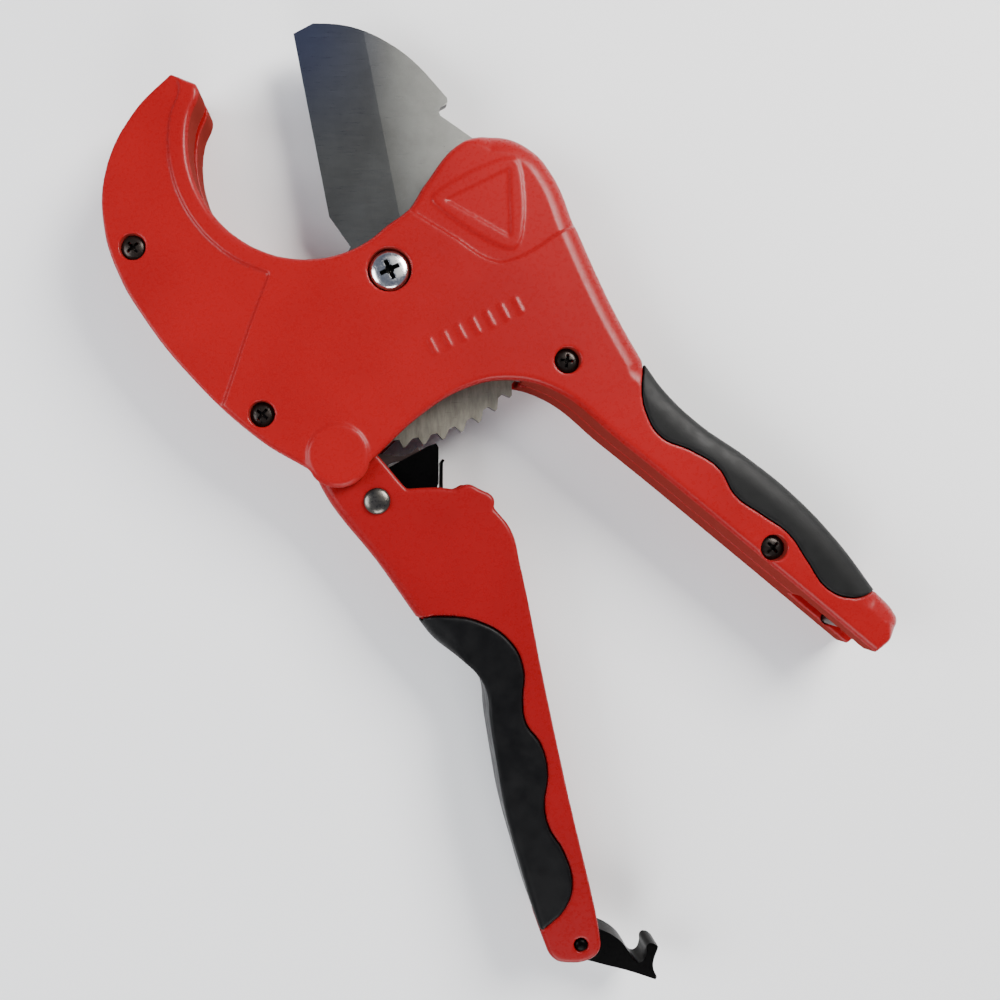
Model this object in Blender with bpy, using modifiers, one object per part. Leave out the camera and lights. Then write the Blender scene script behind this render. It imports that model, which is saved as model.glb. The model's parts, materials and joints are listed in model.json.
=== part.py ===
"""Ratchet cutter for PVC pipe: two cast shells, a toothed blade, a moving handle and its pawls.

Outlines are in millimetres from the blade pivot, +X right and +Y up, and z runs from the flat
back (0) to the front face (25). The tool lies on its back. The model itself is in metres.
"""
import math

import bmesh
import bpy
from mathutils import Matrix

MM = 0.001
CORNER = "corner"

# Frame: the tool's outline is centred on the origin.
BLADE_PIVOT_WORLD = (-31.6, 64.25)

# Shells
THICKNESS = 25.0
FACE = 3.0
SEAM_GAP = 0.3
SEAM = THICKNESS / 2
RIM_ROUND = 1.8
FIELD_DEPTH = 0.8
MOUTH_CENTRE = (-23.7, 36.1)
MOUTH_RADIUS = 33.0
MOUTH_BAND = 5.3
BOSS_RADIUS = 9.3
BOSS_RISE = 0.8
GAP = 0.3

# Blade
BLADE_THICKNESS = 2.5
BLADE_LOW = SEAM - BLADE_THICKNESS / 2
BLADE_HIGH = SEAM + BLADE_THICKNESS / 2
SLOT_LOW = BLADE_LOW - 0.45
SLOT_HIGH = BLADE_HIGH + 0.45
TOOTH_PITCH = 6.8
TOOTH_TIP = 49.6
TOOTH_ROOT = 47.3
TOOTH_FIRST = -23.7
TOOTH_COUNT = 17
EDGE_HEEL = (-17.6, 18.4)
EDGE_TIP = (-28.1, 72.0)
GRIND_WIDTH = 20.0
GRIND_LENGTH = 84.0
EDGE_THICKNESS = 0.5
BLADE_HOLE_RADIUS = 4.2
BLADE_SWING_RADIUS = 78.8
TOOTH_ROOM_RADIUS = 51.0

# Room for the blade's return spring, in the rear shell
SPRING_RADIUS = 6.9
SPRING_WIRE = 0.45
SPRING_ROOM_RADIUS = 8.6
SPRING_ROOM_FLOOR = 6.4
SPRING_BOSS_RADIUS = 5.2
LEG_ROOM_RADIUS = 15.8
LEG_ROOM_ANGLES = (213, 333)
SPRING_POST_PLACE = (13.9, 270)

# Pivots
HANDLE_PIVOT = (-14.4, -52.0)
FEED_PIVOT = (-3.5, -65.0)
LATCH_PIVOT = (54.4, -191.0)
CATCH_PIN = (131.0, -100.1)
CLOSED_LATCH_PIVOT = (126.0, -118.0)
SCREWS = ((-72.3, 6.5), (-35.8, -40.6), (50.0, -25.5), (107.9, -78.1))

# Moving handle
HANDLE_LOW = 3.3
HANDLE_HIGH = 21.7
CHEEK_LOW = 6.1
CHEEK_HIGH = 18.9
PIN_RADIUS = 1.6
PIVOT_PIN_RADIUS = 2.5

# Fineness of the outlines and of the turned pieces
CURVE_STEPS = 3
TURN_STEPS = 28

COLOURS = {
    "red_paint": ((0.50, 0.028, 0.018, 1.0), 0.35, 0.0),
    "grip_rubber": ((0.035, 0.036, 0.036, 1.0), 0.55, 0.0),
    "dark_rubber": ((0.009, 0.009, 0.010, 1.0), 0.5, 0.0),
    "blade_steel": ((0.36, 0.37, 0.38, 1.0), 0.3, 1.0),
    "bright_steel": ((0.62, 0.62, 0.60, 1.0), 0.18, 1.0),
    "dark_steel": ((0.18, 0.16, 0.15, 1.0), 0.4, 1.0),
    "black_steel": ((0.012, 0.012, 0.013, 1.0), 0.35, 0.6),
}

AXES = {
    "body": ((0.0, 0.0), None),
    "blade": ((0.0, 0.0), "body"),
    "moving_handle": (HANDLE_PIVOT, "body"),
    "hold_pawl": (HANDLE_PIVOT, "body"),
    "feed_pawl": (FEED_PIVOT, "moving_handle"),
    "latch": (LATCH_PIVOT, "moving_handle"),
}


def polar(radius, degrees, centre=(0.0, 0.0)):
    """A point at a radius and an angle about a centre."""
    angle = math.radians(degrees)
    return (centre[0] + radius * math.cos(angle), centre[1] + radius * math.sin(angle))


def arc(centre, radius, start, end, count):
    """Points along an arc, from the start angle to the end angle."""
    return [polar(radius, start + (end - start) * i / (count - 1), centre) for i in range(count)]


# The fixed grip: a wavy finger side and a smooth palm side.
FIXED_GRIP = [
    (72.3, -26.0, CORNER), (71.0, -33.6), (72.2, -40.2), (76.0, -46.6), (85.0, -50.8), (92.4, -55.6),
    (97.2, -63.4), (104.3, -68.5), (112.0, -74.0), (117.4, -81.8), (122.9, -89.4), (129.6, -92.0),
    (137.5, -90.3, CORNER), (127.1, -76.4), (114.0, -62.7), (100.9, -52.2), (87.8, -43.1), (77.9, -33.7),
]
# The two shells share one outline. Under the grip it steps in, to a core.
BODY = [
    (-61.6, 55.2, CORNER), (-72.1, 44.4), (-80.0, 27.8), (-80.4, 12.0), (-75.8, -2.3), (-69.8, -12.5),
    (-58.5, -27.2), (-36.3, -48.0), (-23.6, -55.6, CORNER),
    *arc(HANDLE_PIVOT, BOSS_RADIUS, 206, 350, 8),
    (-3.9, -52.6, CORNER), (8.7, -40.9), (21.6, -33.2), (33.2, -30.9), (46.0, -33.8), (64.5, -48.0),
    (103.7, -80.1), (136.8, -107.7, CORNER), (142.4, -102.5), (144.2, -99.2), (143.3, -96.5),
    (138.1, -90.7, CORNER), (132.4, -89.4, CORNER), (129.0, -86.0), (116.0, -71.9), (103.0, -60.0),
    (90.4, -51.2), (78.0, -40.4), (73.2, -31.4, CORNER), (71.8, -25.2, CORNER), (64.0, -11.2),
    (53.0, 12.7), (46.5, 27.9), (39.9, 35.3), (30.4, 38.7), (20.3, 36.2), (10.1, 24.5), (5.1, 16.9),
    *arc(MOUTH_CENTRE, MOUTH_RADIUS, 315, 155, 13),
    (-54.5, 52.4, CORNER),
]
# Lower fields of both faces: the hook outside its raised rim, and the ear beyond its step.
HOOK_FIELD = [
    (-62.0, 60.0, CORNER), (-90.0, 60.0, CORNER), (-90.0, -60.0, CORNER), (-50.0, -48.0, CORNER),
    (-44.7, -32.7, CORNER), (-38.7, -14.7), (-33.6, -1.2, CORNER),
    *arc(MOUTH_CENTRE, MOUTH_RADIUS + MOUTH_BAND, 254, 157, 9),
]
EAR_FIELD = [
    (5.4, 16.6, CORNER), (18.0, 9.0, CORNER), (29.5, 2.2), (33.5, 2.3), (49.7, 11.3, CORNER),
    (70.0, 20.0, CORNER), (50.0, 60.0, CORNER), (0.0, 50.0, CORNER), (1.0, 18.0, CORNER),
]
EAR_TRIANGLE = [
    (12.2, 19.8), (13.4, 18.0), (34.4, 6.0), (36.3, 7.4), (36.0, 30.0), (34.4, 31.2), (13.6, 21.8),
]
EAR_TRIANGLE_INSIDE = [(15.4, 19.6, CORNER), (34.2, 8.9, CORNER), (33.8, 28.6, CORNER)]
# Room between the faces for the handle's cheeks and the pawls, open along the lower edge.
MECHANISM_ROOM = [
    (-23.2, -75.0, CORNER), (-23.2, -51.0), (-20.6, -45.6), (-14.4, -43.3), (-4.0, -43.3), (6.0, -41.0),
    (12.0, -37.5), (18.0, -32.0), (24.0, -29.4), (32.0, -28.0), (38.0, -29.0, CORNER), (40.0, -75.0, CORNER),
]
FIXED_HANDLE_ROOM = [
    (57.0, -31.0), (63.0, -42.0), (84.0, -58.5), (100.0, -71.5), (101.5, -75.5), (104.5, -72.0),
    (110.0, -72.5), (96.0, -60.0), (80.0, -48.5), (66.0, -35.0), (60.0, -20.0),
]
MOVING_GRIP = [
    (7.9, -98.4, CORNER), (12.8, -104.4), (20.5, -110.2), (25.1, -114.5), (27.6, -119.5), (28.4, -127.0),
    (30.5, -140.3), (32.9, -153.5), (36.7, -167.4), (40.6, -180.5), (42.9, -186.8, CORNER), (44.4, -185.6),
    (49.6, -180.4), (51.6, -173.5), (49.2, -164.6), (45.0, -157.6), (43.7, -151.5), (44.6, -142.0),
    (42.7, -134.1), (38.5, -128.1), (37.5, -121.5), (37.8, -113.0), (34.4, -105.4), (25.0, -99.3),
    (15.5, -97.9),
]
MOVING_HANDLE = [
    (-9.2, -46.9), (-14.4, -44.7), (-19.8, -46.6), (-22.3, -51.0), (-21.2, -57.4), (-1.5, -85.0),
    (7.6, -98.0, CORNER), (11.8, -99.8, CORNER), (15.4, -101.9), (22.8, -107.5), (29.2, -114.5),
    (31.9, -126.0), (36.3, -152.6), (43.9, -179.4), (45.0, -183.4, CORNER), (42.8, -187.0, CORNER),
    (43.9, -190.2), (46.6, -195.1), (50.4, -196.3), (57.2, -195.2), (59.8, -192.6), (59.8, -188.4),
    (50.2, -145.5), (44.2, -117.5), (37.3, -83.5), (34.6, -73.2), (29.8, -67.0, CORNER), (29.6, -64.1),
    (25.7, -61.6), (22.1, -60.2), (19.2, -61.4), (14.0, -61.1), (4.9, -61.5, CORNER),
]
# The handle is a channel: between its cheeks it is open towards the other handle.
UPPER_CHANNEL = [
    (-35.0, -40.0, CORNER), (-35.0, -60.5, CORNER), (-15.3, -60.5, CORNER), (10.9, -97.4, CORNER),
    (65.0, -97.4, CORNER), (45.0, -40.0, CORNER),
]
LOWER_CHANNEL = [
    (15.2, -96.0, CORNER), (28.5, -107.5), (34.5, -117.0), (36.0, -130.0), (41.0, -158.0), (47.0, -180.0),
    (48.8, -186.0), (49.2, -202.0, CORNER), (80.0, -202.0, CORNER), (60.0, -96.0, CORNER),
]
FEED_PAWL = [
    *arc(FEED_PIVOT, 4.6, 120, 270, 6),
    (6.0, -68.0), (12.6, -63.6), (14.2, -60.0, CORNER), (14.2, -49.6, CORNER), (13.5, -48.4, CORNER),
    (11.0, -49.3, CORNER), (0.0, -55.3, CORNER),
]
FEED_PAWL_GAP = [
    (-20.0, -45.0, CORNER), (-20.0, -80.0, CORNER), (12.1, -80.0, CORNER), (12.1, -45.0, CORNER),
]
FEED_LEAF = [
    (14.7, -62.0, CORNER), (15.6, -61.4, CORNER), (15.6, -54.0, CORNER), (16.1, -53.2, CORNER),
    (15.5, -52.8, CORNER), (14.8, -53.9, CORNER),
]
# The hollow under the holding pawl lets the feed pawl's pin pass when the handle closes.
HOLD_PAWL = [
    (8.4, -49.3, CORNER), (4.6, -51.7), (-1.5, -51.4), (-7.5, -50.4), (-12.2, -48.9),
    *arc(HANDLE_PIVOT, 3.9, 110, 260, 6),
    (-7.0, -56.0), (-1.6, -55.6, CORNER), (0.4, -54.0), (2.2, -53.5), (4.3, -53.9), (5.6, -55.2, CORNER),
    (9.9, -52.8, CORNER),
]
LATCH = [
    *arc(LATCH_PIVOT, 3.6, 70, 230, 6),
    (54.5, -196.6), (60.0, -198.5), (69.3, -200.9), (77.0, -203.4, CORNER), (77.4, -202.6, CORNER),
    (76.3, -199.6), (77.8, -193.9, CORNER), (76.4, -193.0), (74.8, -193.2), (74.3, -196.0),
    (73.4, -198.0), (72.0, -198.5), (70.6, -197.6), (69.3, -195.4), (66.6, -192.0), (60.2, -188.6),
]


def blade_outline():
    """Back, bearing arc, teeth and cutting edge of the blade plate."""
    heel = [(*EDGE_HEEL, CORNER), (-11.3, 9.5, CORNER), (-19.0, -6.0), (-31.0, -33.0, CORNER)]
    teeth = []
    tooth_shape = ((-1.5, TOOTH_ROOT), (-0.35, TOOTH_TIP), (0.55, TOOTH_TIP - 0.1), (3.2, TOOTH_ROOT))
    for tooth in range(TOOTH_COUNT - 1, -1, -1):
        angle = TOOTH_FIRST - TOOTH_PITCH * tooth
        for offset, radius in tooth_shape:
            teeth.append((*polar(radius, angle + offset), CORNER))
    back = [
        *arc((0.0, 0.0), 47.6, -18, 58, 8), (23.6, 41.5, CORNER), (14.9, 47.6, CORNER), (14.6, 49.3),
        (16.9, 51.3), (16.9, 52.8, CORNER), (6.7, 63.8), (-0.4, 68.9), (-8.6, 72.8), (-15.2, 74.4),
        (-22.3, 74.9, CORNER), (*EDGE_TIP, CORNER),
    ]
    return heel + teeth + back


def clear_scene():
    for scene_object in list(bpy.data.objects):
        bpy.data.objects.remove(scene_object, do_unlink=True)


def make_collection(name):
    collection = bpy.data.collections.new(name)
    bpy.context.scene.collection.children.link(collection)
    return collection


def make_material(name):
    colour, roughness, metallic = COLOURS[name]
    material = bpy.data.materials.new(name)
    material.use_nodes = True
    shader = material.node_tree.nodes["Principled BSDF"]
    shader.inputs["Base Color"].default_value = colour
    shader.inputs["Roughness"].default_value = roughness
    shader.inputs["Metallic"].default_value = metallic
    return material


def make_axes():
    """One empty on each joint axis, and one for the fixed body."""
    empties = {}
    for name, (position, parent) in AXES.items():
        empty = bpy.data.objects.new(name + "_axis", None)
        empty.empty_display_size = 10 * MM
        PARTS.objects.link(empty)
        origin = (-BLADE_PIVOT_WORLD[0], -BLADE_PIVOT_WORLD[1])
        if parent:
            empty.parent = empties[parent]
            origin = AXES[parent][0]
        empty.location = ((position[0] - origin[0]) * MM, (position[1] - origin[1]) * MM, 0.0)
        empties[name] = empty
    return empties


def place(piece, body):
    """Hang a piece on its body's axis without moving its shape."""
    position = AXES[body][0]
    piece.parent = EMPTIES[body]
    piece.location = (-position[0] * MM, -position[1] * MM, 0.0)
    return piece


def new_object(name, mesh, body, colour=None):
    piece = bpy.data.objects.new(name, mesh)
    if colour:
        PARTS.objects.link(piece)
        piece.data.materials.clear()
        piece.data.materials.append(MATERIALS[colour])
    else:
        CUTTERS.objects.link(piece)
        piece.hide_render = True
        piece.display_type = "WIRE"
    return place(piece, body)


def slab_mesh(name, outline, low, high, grow=0.0):
    """An outline filled and extruded between two heights; grow swells it on every side."""
    curve = bpy.data.curves.new(name, "CURVE")
    curve.dimensions = "2D"
    curve.fill_mode = "BOTH"
    curve.resolution_u = CURVE_STEPS
    curve.extrude = (high - low) / 2 * MM
    curve.bevel_depth = grow * MM
    curve.bevel_resolution = 0
    spline = curve.splines.new("BEZIER")
    spline.bezier_points.add(len(outline) - 1)
    for knot, point in zip(spline.bezier_points, outline):
        knot.co = (point[0] * MM, point[1] * MM, 0.0)
        kind = "VECTOR" if point[-1] == CORNER else "AUTO"
        knot.handle_left_type = kind
        knot.handle_right_type = kind
    spline.use_cyclic_u = True
    guide = bpy.data.objects.new(name, curve)
    bpy.context.scene.collection.objects.link(guide)
    evaluated = guide.evaluated_get(bpy.context.evaluated_depsgraph_get())
    mesh = bpy.data.meshes.new_from_object(evaluated)
    bpy.data.objects.remove(guide)
    shape = bmesh.new()
    shape.from_mesh(mesh)
    bmesh.ops.remove_doubles(shape, verts=shape.verts, dist=0.01 * MM)
    bmesh.ops.dissolve_limit(
        shape, angle_limit=math.radians(0.5), use_dissolve_boundaries=False,
        verts=shape.verts, edges=shape.edges, delimit=set(),
    )
    bmesh.ops.translate(shape, verts=shape.verts, vec=(0.0, 0.0, (low + high) / 2 * MM))
    bmesh.ops.recalc_face_normals(shape, faces=shape.faces)
    shape.to_mesh(mesh)
    shape.free()
    return mesh


def slab(name, outline, low, high, body="body", colour=None, grow=0.0):
    return new_object(name, slab_mesh(name, outline, low, high, grow), body, colour)


def round_rim(piece, height, width, segments=2):
    """Round the edges that bound the flat face at one height."""
    shape = bmesh.new()
    shape.from_mesh(piece.data)
    rim = [
        edge for edge in shape.edges
        if all(abs(vert.co.z - height * MM) < 0.01 * MM for vert in edge.verts)
        and edge.calc_face_angle(0.0) > math.radians(60)
    ]
    bmesh.ops.bevel(
        shape, geom=rim, offset=width * MM, segments=segments, profile=0.5,
        affect="EDGES", clamp_overlap=False, offset_type="OFFSET",
    )
    shape.to_mesh(piece.data)
    shape.free()


def rod(name, centre, radius, low, high, body="body", colour=None, sides=TURN_STEPS):
    """A plain cylinder along z."""
    shape = bmesh.new()
    bmesh.ops.create_cone(
        shape, cap_ends=True, segments=sides, radius1=radius * MM, radius2=radius * MM,
        depth=(high - low) * MM,
        matrix=Matrix.Translation((centre[0] * MM, centre[1] * MM, (low + high) / 2 * MM)),
    )
    mesh = bpy.data.meshes.new(name)
    shape.to_mesh(mesh)
    shape.free()
    return new_object(name, mesh, body, colour)


def bar(name, centre, size, angle, body="body", colour=None, tilt=0.0):
    """A box turned by angle about z and then tilted about its own length."""
    turn = Matrix.Rotation(math.radians(angle), 4, "Z") @ Matrix.Rotation(math.radians(tilt), 4, "X")
    shape = bmesh.new()
    bmesh.ops.create_cube(
        shape, size=1.0,
        matrix=Matrix.Translation([value * MM for value in centre]) @ turn
        @ Matrix.Diagonal((size[0] * MM, size[1] * MM, size[2] * MM, 1.0)),
    )
    mesh = bpy.data.meshes.new(name)
    shape.to_mesh(mesh)
    shape.free()
    return new_object(name, mesh, body, colour)


def turned(name, centre, profile, body="body", colour=None, steps=TURN_STEPS):
    """A solid of revolution about z; its profile runs down from the top to the bottom."""
    mesh = bpy.data.meshes.new(name)
    vertices = [(radius * MM, 0.0, height * MM) for radius, height in profile]
    mesh.from_pydata(vertices, [(i, i + 1) for i in range(len(vertices) - 1)], [])
    piece = new_object(name, mesh, body, colour)
    piece.location.x += centre[0] * MM
    piece.location.y += centre[1] * MM
    screw = piece.modifiers.new("turn", "SCREW")
    screw.steps = steps
    screw.render_steps = steps
    screw.use_merge_vertices = True
    screw.merge_threshold = 0.01 * MM
    return piece


def tube_along(name, points, radius, body, colour):
    """A round wire through a list of points."""
    curve = bpy.data.curves.new(name, "CURVE")
    curve.dimensions = "3D"
    curve.bevel_depth = radius * MM
    curve.bevel_resolution = 1
    curve.use_fill_caps = True
    spline = curve.splines.new("POLY")
    spline.points.add(len(points) - 1)
    for knot, point in zip(spline.points, points):
        knot.co = (point[0] * MM, point[1] * MM, point[2] * MM, 1.0)
    guide = bpy.data.objects.new(name, curve)
    bpy.context.scene.collection.objects.link(guide)
    evaluated = guide.evaluated_get(bpy.context.evaluated_depsgraph_get())
    mesh = bpy.data.meshes.new_from_object(evaluated)
    bpy.data.objects.remove(guide)
    shape = bmesh.new()
    shape.from_mesh(mesh)
    bmesh.ops.remove_doubles(shape, verts=shape.verts, dist=0.01 * MM)
    bmesh.ops.recalc_face_normals(shape, faces=shape.faces)
    shape.to_mesh(mesh)
    shape.free()
    return new_object(name, mesh, body, colour)


def coil(name, centre, radius, wire, low, pitch, turns, start, leg_low, leg_high, body, colour):
    """A torsion spring: a helix with a straight leg at each end."""
    steps = int(turns * 14)
    points = [(*leg_low, low)]
    for step in range(steps + 1):
        x, y = polar(radius, start + 360.0 * turns * step / steps, centre)
        points.append((x, y, low + pitch * turns * step / steps))
    points.append((*leg_high, low + pitch * turns))
    return tube_along(name, points, wire, body, colour)


def boolean(piece, other, operation="DIFFERENCE"):
    modifier = piece.modifiers.new(other.name, "BOOLEAN")
    modifier.operation = operation
    modifier.solver = "EXACT"
    modifier.object = other


def cut(piece, *cutters):
    for cutter in cutters:
        boolean(piece, cutter)


def join(piece, *additions):
    for addition in additions:
        boolean(piece, addition, "UNION")


def cross_recess(name, centre, size, low, high, body="body"):
    """Two crossed bars that cut a cross recess into a screw head."""
    middle = (low + high) / 2
    first = bar(name + "_a", (*centre, middle), (size, size * 0.24, high - low), 25, body)
    second = bar(name + "_b", (*centre, middle), (size * 0.24, size, high - low), 25, body)
    return first, second


def shell_cutters():
    """Everything that both shells leave open, cut through them at the same places."""
    swing = [(0.0, 0.0), *arc((0.0, 0.0), BLADE_SWING_RADIUS, 24, 172, 25)]
    cutters = [
        rod("blade_room", (0.0, 0.0), TOOTH_ROOM_RADIUS, SLOT_LOW, SLOT_HIGH, sides=64),
        slab("blade_slot", [(*point, CORNER) for point in swing], SLOT_LOW, SLOT_HIGH),
        slab("mechanism_room", MECHANISM_ROOM, FACE, THICKNESS - FACE),
        slab("fixed_handle_room", FIXED_HANDLE_ROOM, 8.5, 16.5),
        slab("latch_slot", [
            *arc(CLOSED_LATCH_PIVOT, 26.2, 190, 66, 9), (137.5, -94.9, CORNER), (155.0, -94.9, CORNER),
            (155.0, -130.0, CORNER), (100.0, -130.0, CORNER),
        ], 8.1, 16.9),
        rod("pivot_hole", (0.0, 0.0), BLADE_HOLE_RADIUS, -1.0, THICKNESS + 1.0),
        rod("handle_pin_hole", HANDLE_PIVOT, PIVOT_PIN_RADIUS + GAP, 1.5, THICKNESS - 1.5),
        rod("catch_pin_hole", CATCH_PIN, 1.9, 5.0, THICKNESS - 5.0, sides=16),
        slab("grip_seat_front", FIXED_GRIP, THICKNESS - 5.2, THICKNESS + 5.0, grow=GAP),
        slab("grip_seat_back", FIXED_GRIP, -5.0, 5.2, grow=GAP),
    ]
    return cutters


def make_shells():
    common = shell_cutters()
    front = slab("front_shell", BODY, SEAM + SEAM_GAP / 2, THICKNESS, colour="red_paint")
    round_rim(front, THICKNESS, RIM_ROUND)
    rear = slab("rear_shell", BODY, 0.0, SEAM - SEAM_GAP / 2, colour="red_paint")
    round_rim(rear, 0.0, RIM_ROUND)
    for name, field in (("hook_field", HOOK_FIELD), ("ear_field", EAR_FIELD)):
        cut(front, slab(name + "_front", field, THICKNESS - FIELD_DEPTH, THICKNESS + 3.0))
        cut(rear, slab(name + "_back", field, -3.0, FIELD_DEPTH))
    join(front, turned("round_boss", HANDLE_PIVOT, [
        (0.0, THICKNESS + BOSS_RISE), (BOSS_RADIUS - 1.4, THICKNESS + BOSS_RISE),
        (BOSS_RADIUS - 0.6, THICKNESS + BOSS_RISE - 0.35), (BOSS_RADIUS - 0.3, THICKNESS - 0.2),
        (BOSS_RADIUS - 0.3, THICKNESS - 2.5), (0.0, THICKNESS - 2.5),
    ]))
    cut(front, *common)
    cut(rear, *common)
    cut(front, rod("washer_seat_front", (0.0, 0.0), 7.3, SLOT_HIGH - 0.2, 15.5))
    cut(rear, rod("washer_seat_rear", (0.0, 0.0), 7.3, 9.5, SLOT_LOW + 0.2))
    cut(front, rod("bolt_seat", (0.0, 0.0), 6.2, THICKNESS - FACE, THICKNESS + 1.0))
    cut(rear, rod("nut_seat", (0.0, 0.0), 7.3, -1.0, 5.3, sides=6))
    leg_room = [(0.0, 0.0), *arc((0.0, 0.0), LEG_ROOM_RADIUS, *LEG_ROOM_ANGLES, 13)]
    rooms = (
        rod("spring_room", (0.0, 0.0), SPRING_ROOM_RADIUS, SPRING_ROOM_FLOOR, SLOT_LOW + 0.2),
        slab("spring_leg_room", [(*point, CORNER) for point in leg_room], SPRING_ROOM_FLOOR, SLOT_LOW + 0.2),
    )
    boss = rod("spring_boss", (0.0, 0.0), SPRING_BOSS_RADIUS, 0.0, 15.0)
    for room in rooms:
        cut(room, boss)
    cut(rear, *rooms)
    for number, centre in enumerate(SCREWS, 1):
        cut(front, rod(f"screw_seat_{number}", centre, 3.7, THICKNESS - FACE, THICKNESS + 1.0, sides=24))
        cut(front, rod(f"screw_hole_{number}", centre, 1.8, SEAM - 1.0, THICKNESS, sides=16))
        cut(rear, rod(f"screw_bore_{number}", centre, 1.8, FACE, SEAM + 1.0, sides=16))
    ribs = []
    for number in range(7):
        centre = (12.0 + 4.0 * number, -21.6 + 1.9 * number, THICKNESS)
        ribs.append(bar(f"face_rib_{number}", centre, (1.2, 5.0, 0.9), 27))
    join(front, *ribs)
    triangle = slab("ear_triangle", EAR_TRIANGLE, THICKNESS - 1.2, THICKNESS - FIELD_DEPTH + 0.5)
    cut(triangle, slab("ear_triangle_inside", EAR_TRIANGLE_INSIDE, THICKNESS - 3.0, THICKNESS + 1.0))
    join(front, triangle)


def make_fixed_grip():
    grip = slab("fixed_handle_grip", FIXED_GRIP, 0.3, THICKNESS - 0.3, colour="grip_rubber")
    round_rim(grip, 0.3, 0.8)
    round_rim(grip, THICKNESS - 0.3, 0.8)
    cut(grip, slab("fixed_grip_core", BODY, 5.2, THICKNESS - 5.2, grow=GAP))


def make_blade():
    blade = slab("blade", blade_outline(), BLADE_LOW, BLADE_HIGH, "blade", "blade_steel")
    cut(blade, rod("blade_hole", (0.0, 0.0), BLADE_HOLE_RADIUS, BLADE_LOW - 1.0, BLADE_HIGH + 1.0, "blade"))
    # The edge from the heel to the tip is ground from both sides.
    depth = 10.0
    direction = math.degrees(math.atan2(EDGE_TIP[1] - EDGE_HEEL[1], EDGE_TIP[0] - EDGE_HEEL[0]))
    middle = ((EDGE_TIP[0] + EDGE_HEEL[0]) / 2, (EDGE_TIP[1] + EDGE_HEEL[1]) / 2)
    slope = math.degrees(math.atan2((BLADE_THICKNESS - EDGE_THICKNESS) / 2, GRIND_WIDTH))
    for name, side in (("front_grind", 1.0), ("back_grind", -1.0)):
        height = SEAM + side * (EDGE_THICKNESS / 2 + depth / 2 * math.cos(math.radians(slope)))
        size = (GRIND_LENGTH, 2 * GRIND_WIDTH, depth)
        cut(blade, bar(name, (*middle, height), size, direction, "blade", tilt=-side * slope))
    rod("blade_spring_post", polar(*SPRING_POST_PLACE), 1.0, SPRING_ROOM_FLOOR + 0.4, BLADE_LOW - GAP, "blade",
        "dark_steel", sides=12)


def make_pivot():
    bolt = turned("blade_pivot_bolt", (0.0, 0.0), [
        (0.0, 24.9), (2.6, 24.75), (4.4, 24.2), (5.4, 23.2), (5.6, 22.3), (3.9, 22.3), (3.9, 0.8), (0.0, 0.8),
    ], colour="bright_steel")
    cut(bolt, *cross_recess("bolt_cross", (0.0, 0.0), 5.6, 22.9, 26.0))
    nut = rod("blade_pivot_nut", (0.0, 0.0), 6.9, 0.4, 5.0, colour="dark_steel", sides=6)
    cut(nut, rod("nut_thread", (0.0, 0.0), 4.2, -1.0, 6.0))
    for name, low in (("blade_washer_front", BLADE_HIGH + GAP), ("blade_washer_rear", BLADE_LOW - GAP - 1.0)):
        washer = rod(name, (0.0, 0.0), 7.0, low, low + 1.0, colour="dark_steel")
        cut(washer, rod(name + "_hole", (0.0, 0.0), 4.2, low - 1.0, low + 2.0))
    coil("blade_return_spring", (0.0, 0.0), SPRING_RADIUS, SPRING_WIRE, 7.0, 1.1, 1.84, 276.2,
         polar(11.0, 225), polar(15.0, 281), "body", "bright_steel")


def make_screws():
    for number, centre in enumerate(SCREWS, 1):
        screw = turned(f"shell_screw_{number}", centre, [
            (0.0, 24.0), (1.7, 23.9), (2.6, 23.4), (2.9, 22.3), (1.5, 22.3), (1.5, 3.6), (0.0, 3.6),
        ], colour="black_steel", steps=20)
        cut(screw, *cross_recess(f"screw_cross_{number}", centre, 3.0, 23.0, 25.0))


def make_handle_pivot():
    hole_radius = PIVOT_PIN_RADIUS + GAP
    rod("handle_pivot_pin", HANDLE_PIVOT, PIVOT_PIN_RADIUS, 1.8, THICKNESS - 1.8, colour="dark_steel",
        sides=24)
    for name, low, high in (("handle_spacer_front", 14.3, 18.6), ("handle_spacer_rear", 6.4, 10.7)):
        spacer = rod(name, HANDLE_PIVOT, 3.7, low, high, colour="dark_steel", sides=24)
        cut(spacer, rod(name + "_hole", HANDLE_PIVOT, hole_radius, low - 1.0, high + 1.0, sides=24))
    coil("hold_pawl_spring", HANDLE_PIVOT, 4.6, 0.4, 14.9, 1.1, 2.5, 90.0, (-5.0, -48.0),
         (-4.0, -57.2), "body", "bright_steel")
    rod("latch_catch_pin", CATCH_PIN, 1.6, 5.4, THICKNESS - 5.4, colour="dark_steel", sides=16)


def make_hold_pawl():
    pawl = slab("hold_pawl", HOLD_PAWL, 11.0, 14.0, "hold_pawl", "dark_steel")
    cut(pawl, rod("hold_pawl_eye", HANDLE_PIVOT, PIVOT_PIN_RADIUS + GAP, 10.0, 15.0, "hold_pawl", sides=24))


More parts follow.
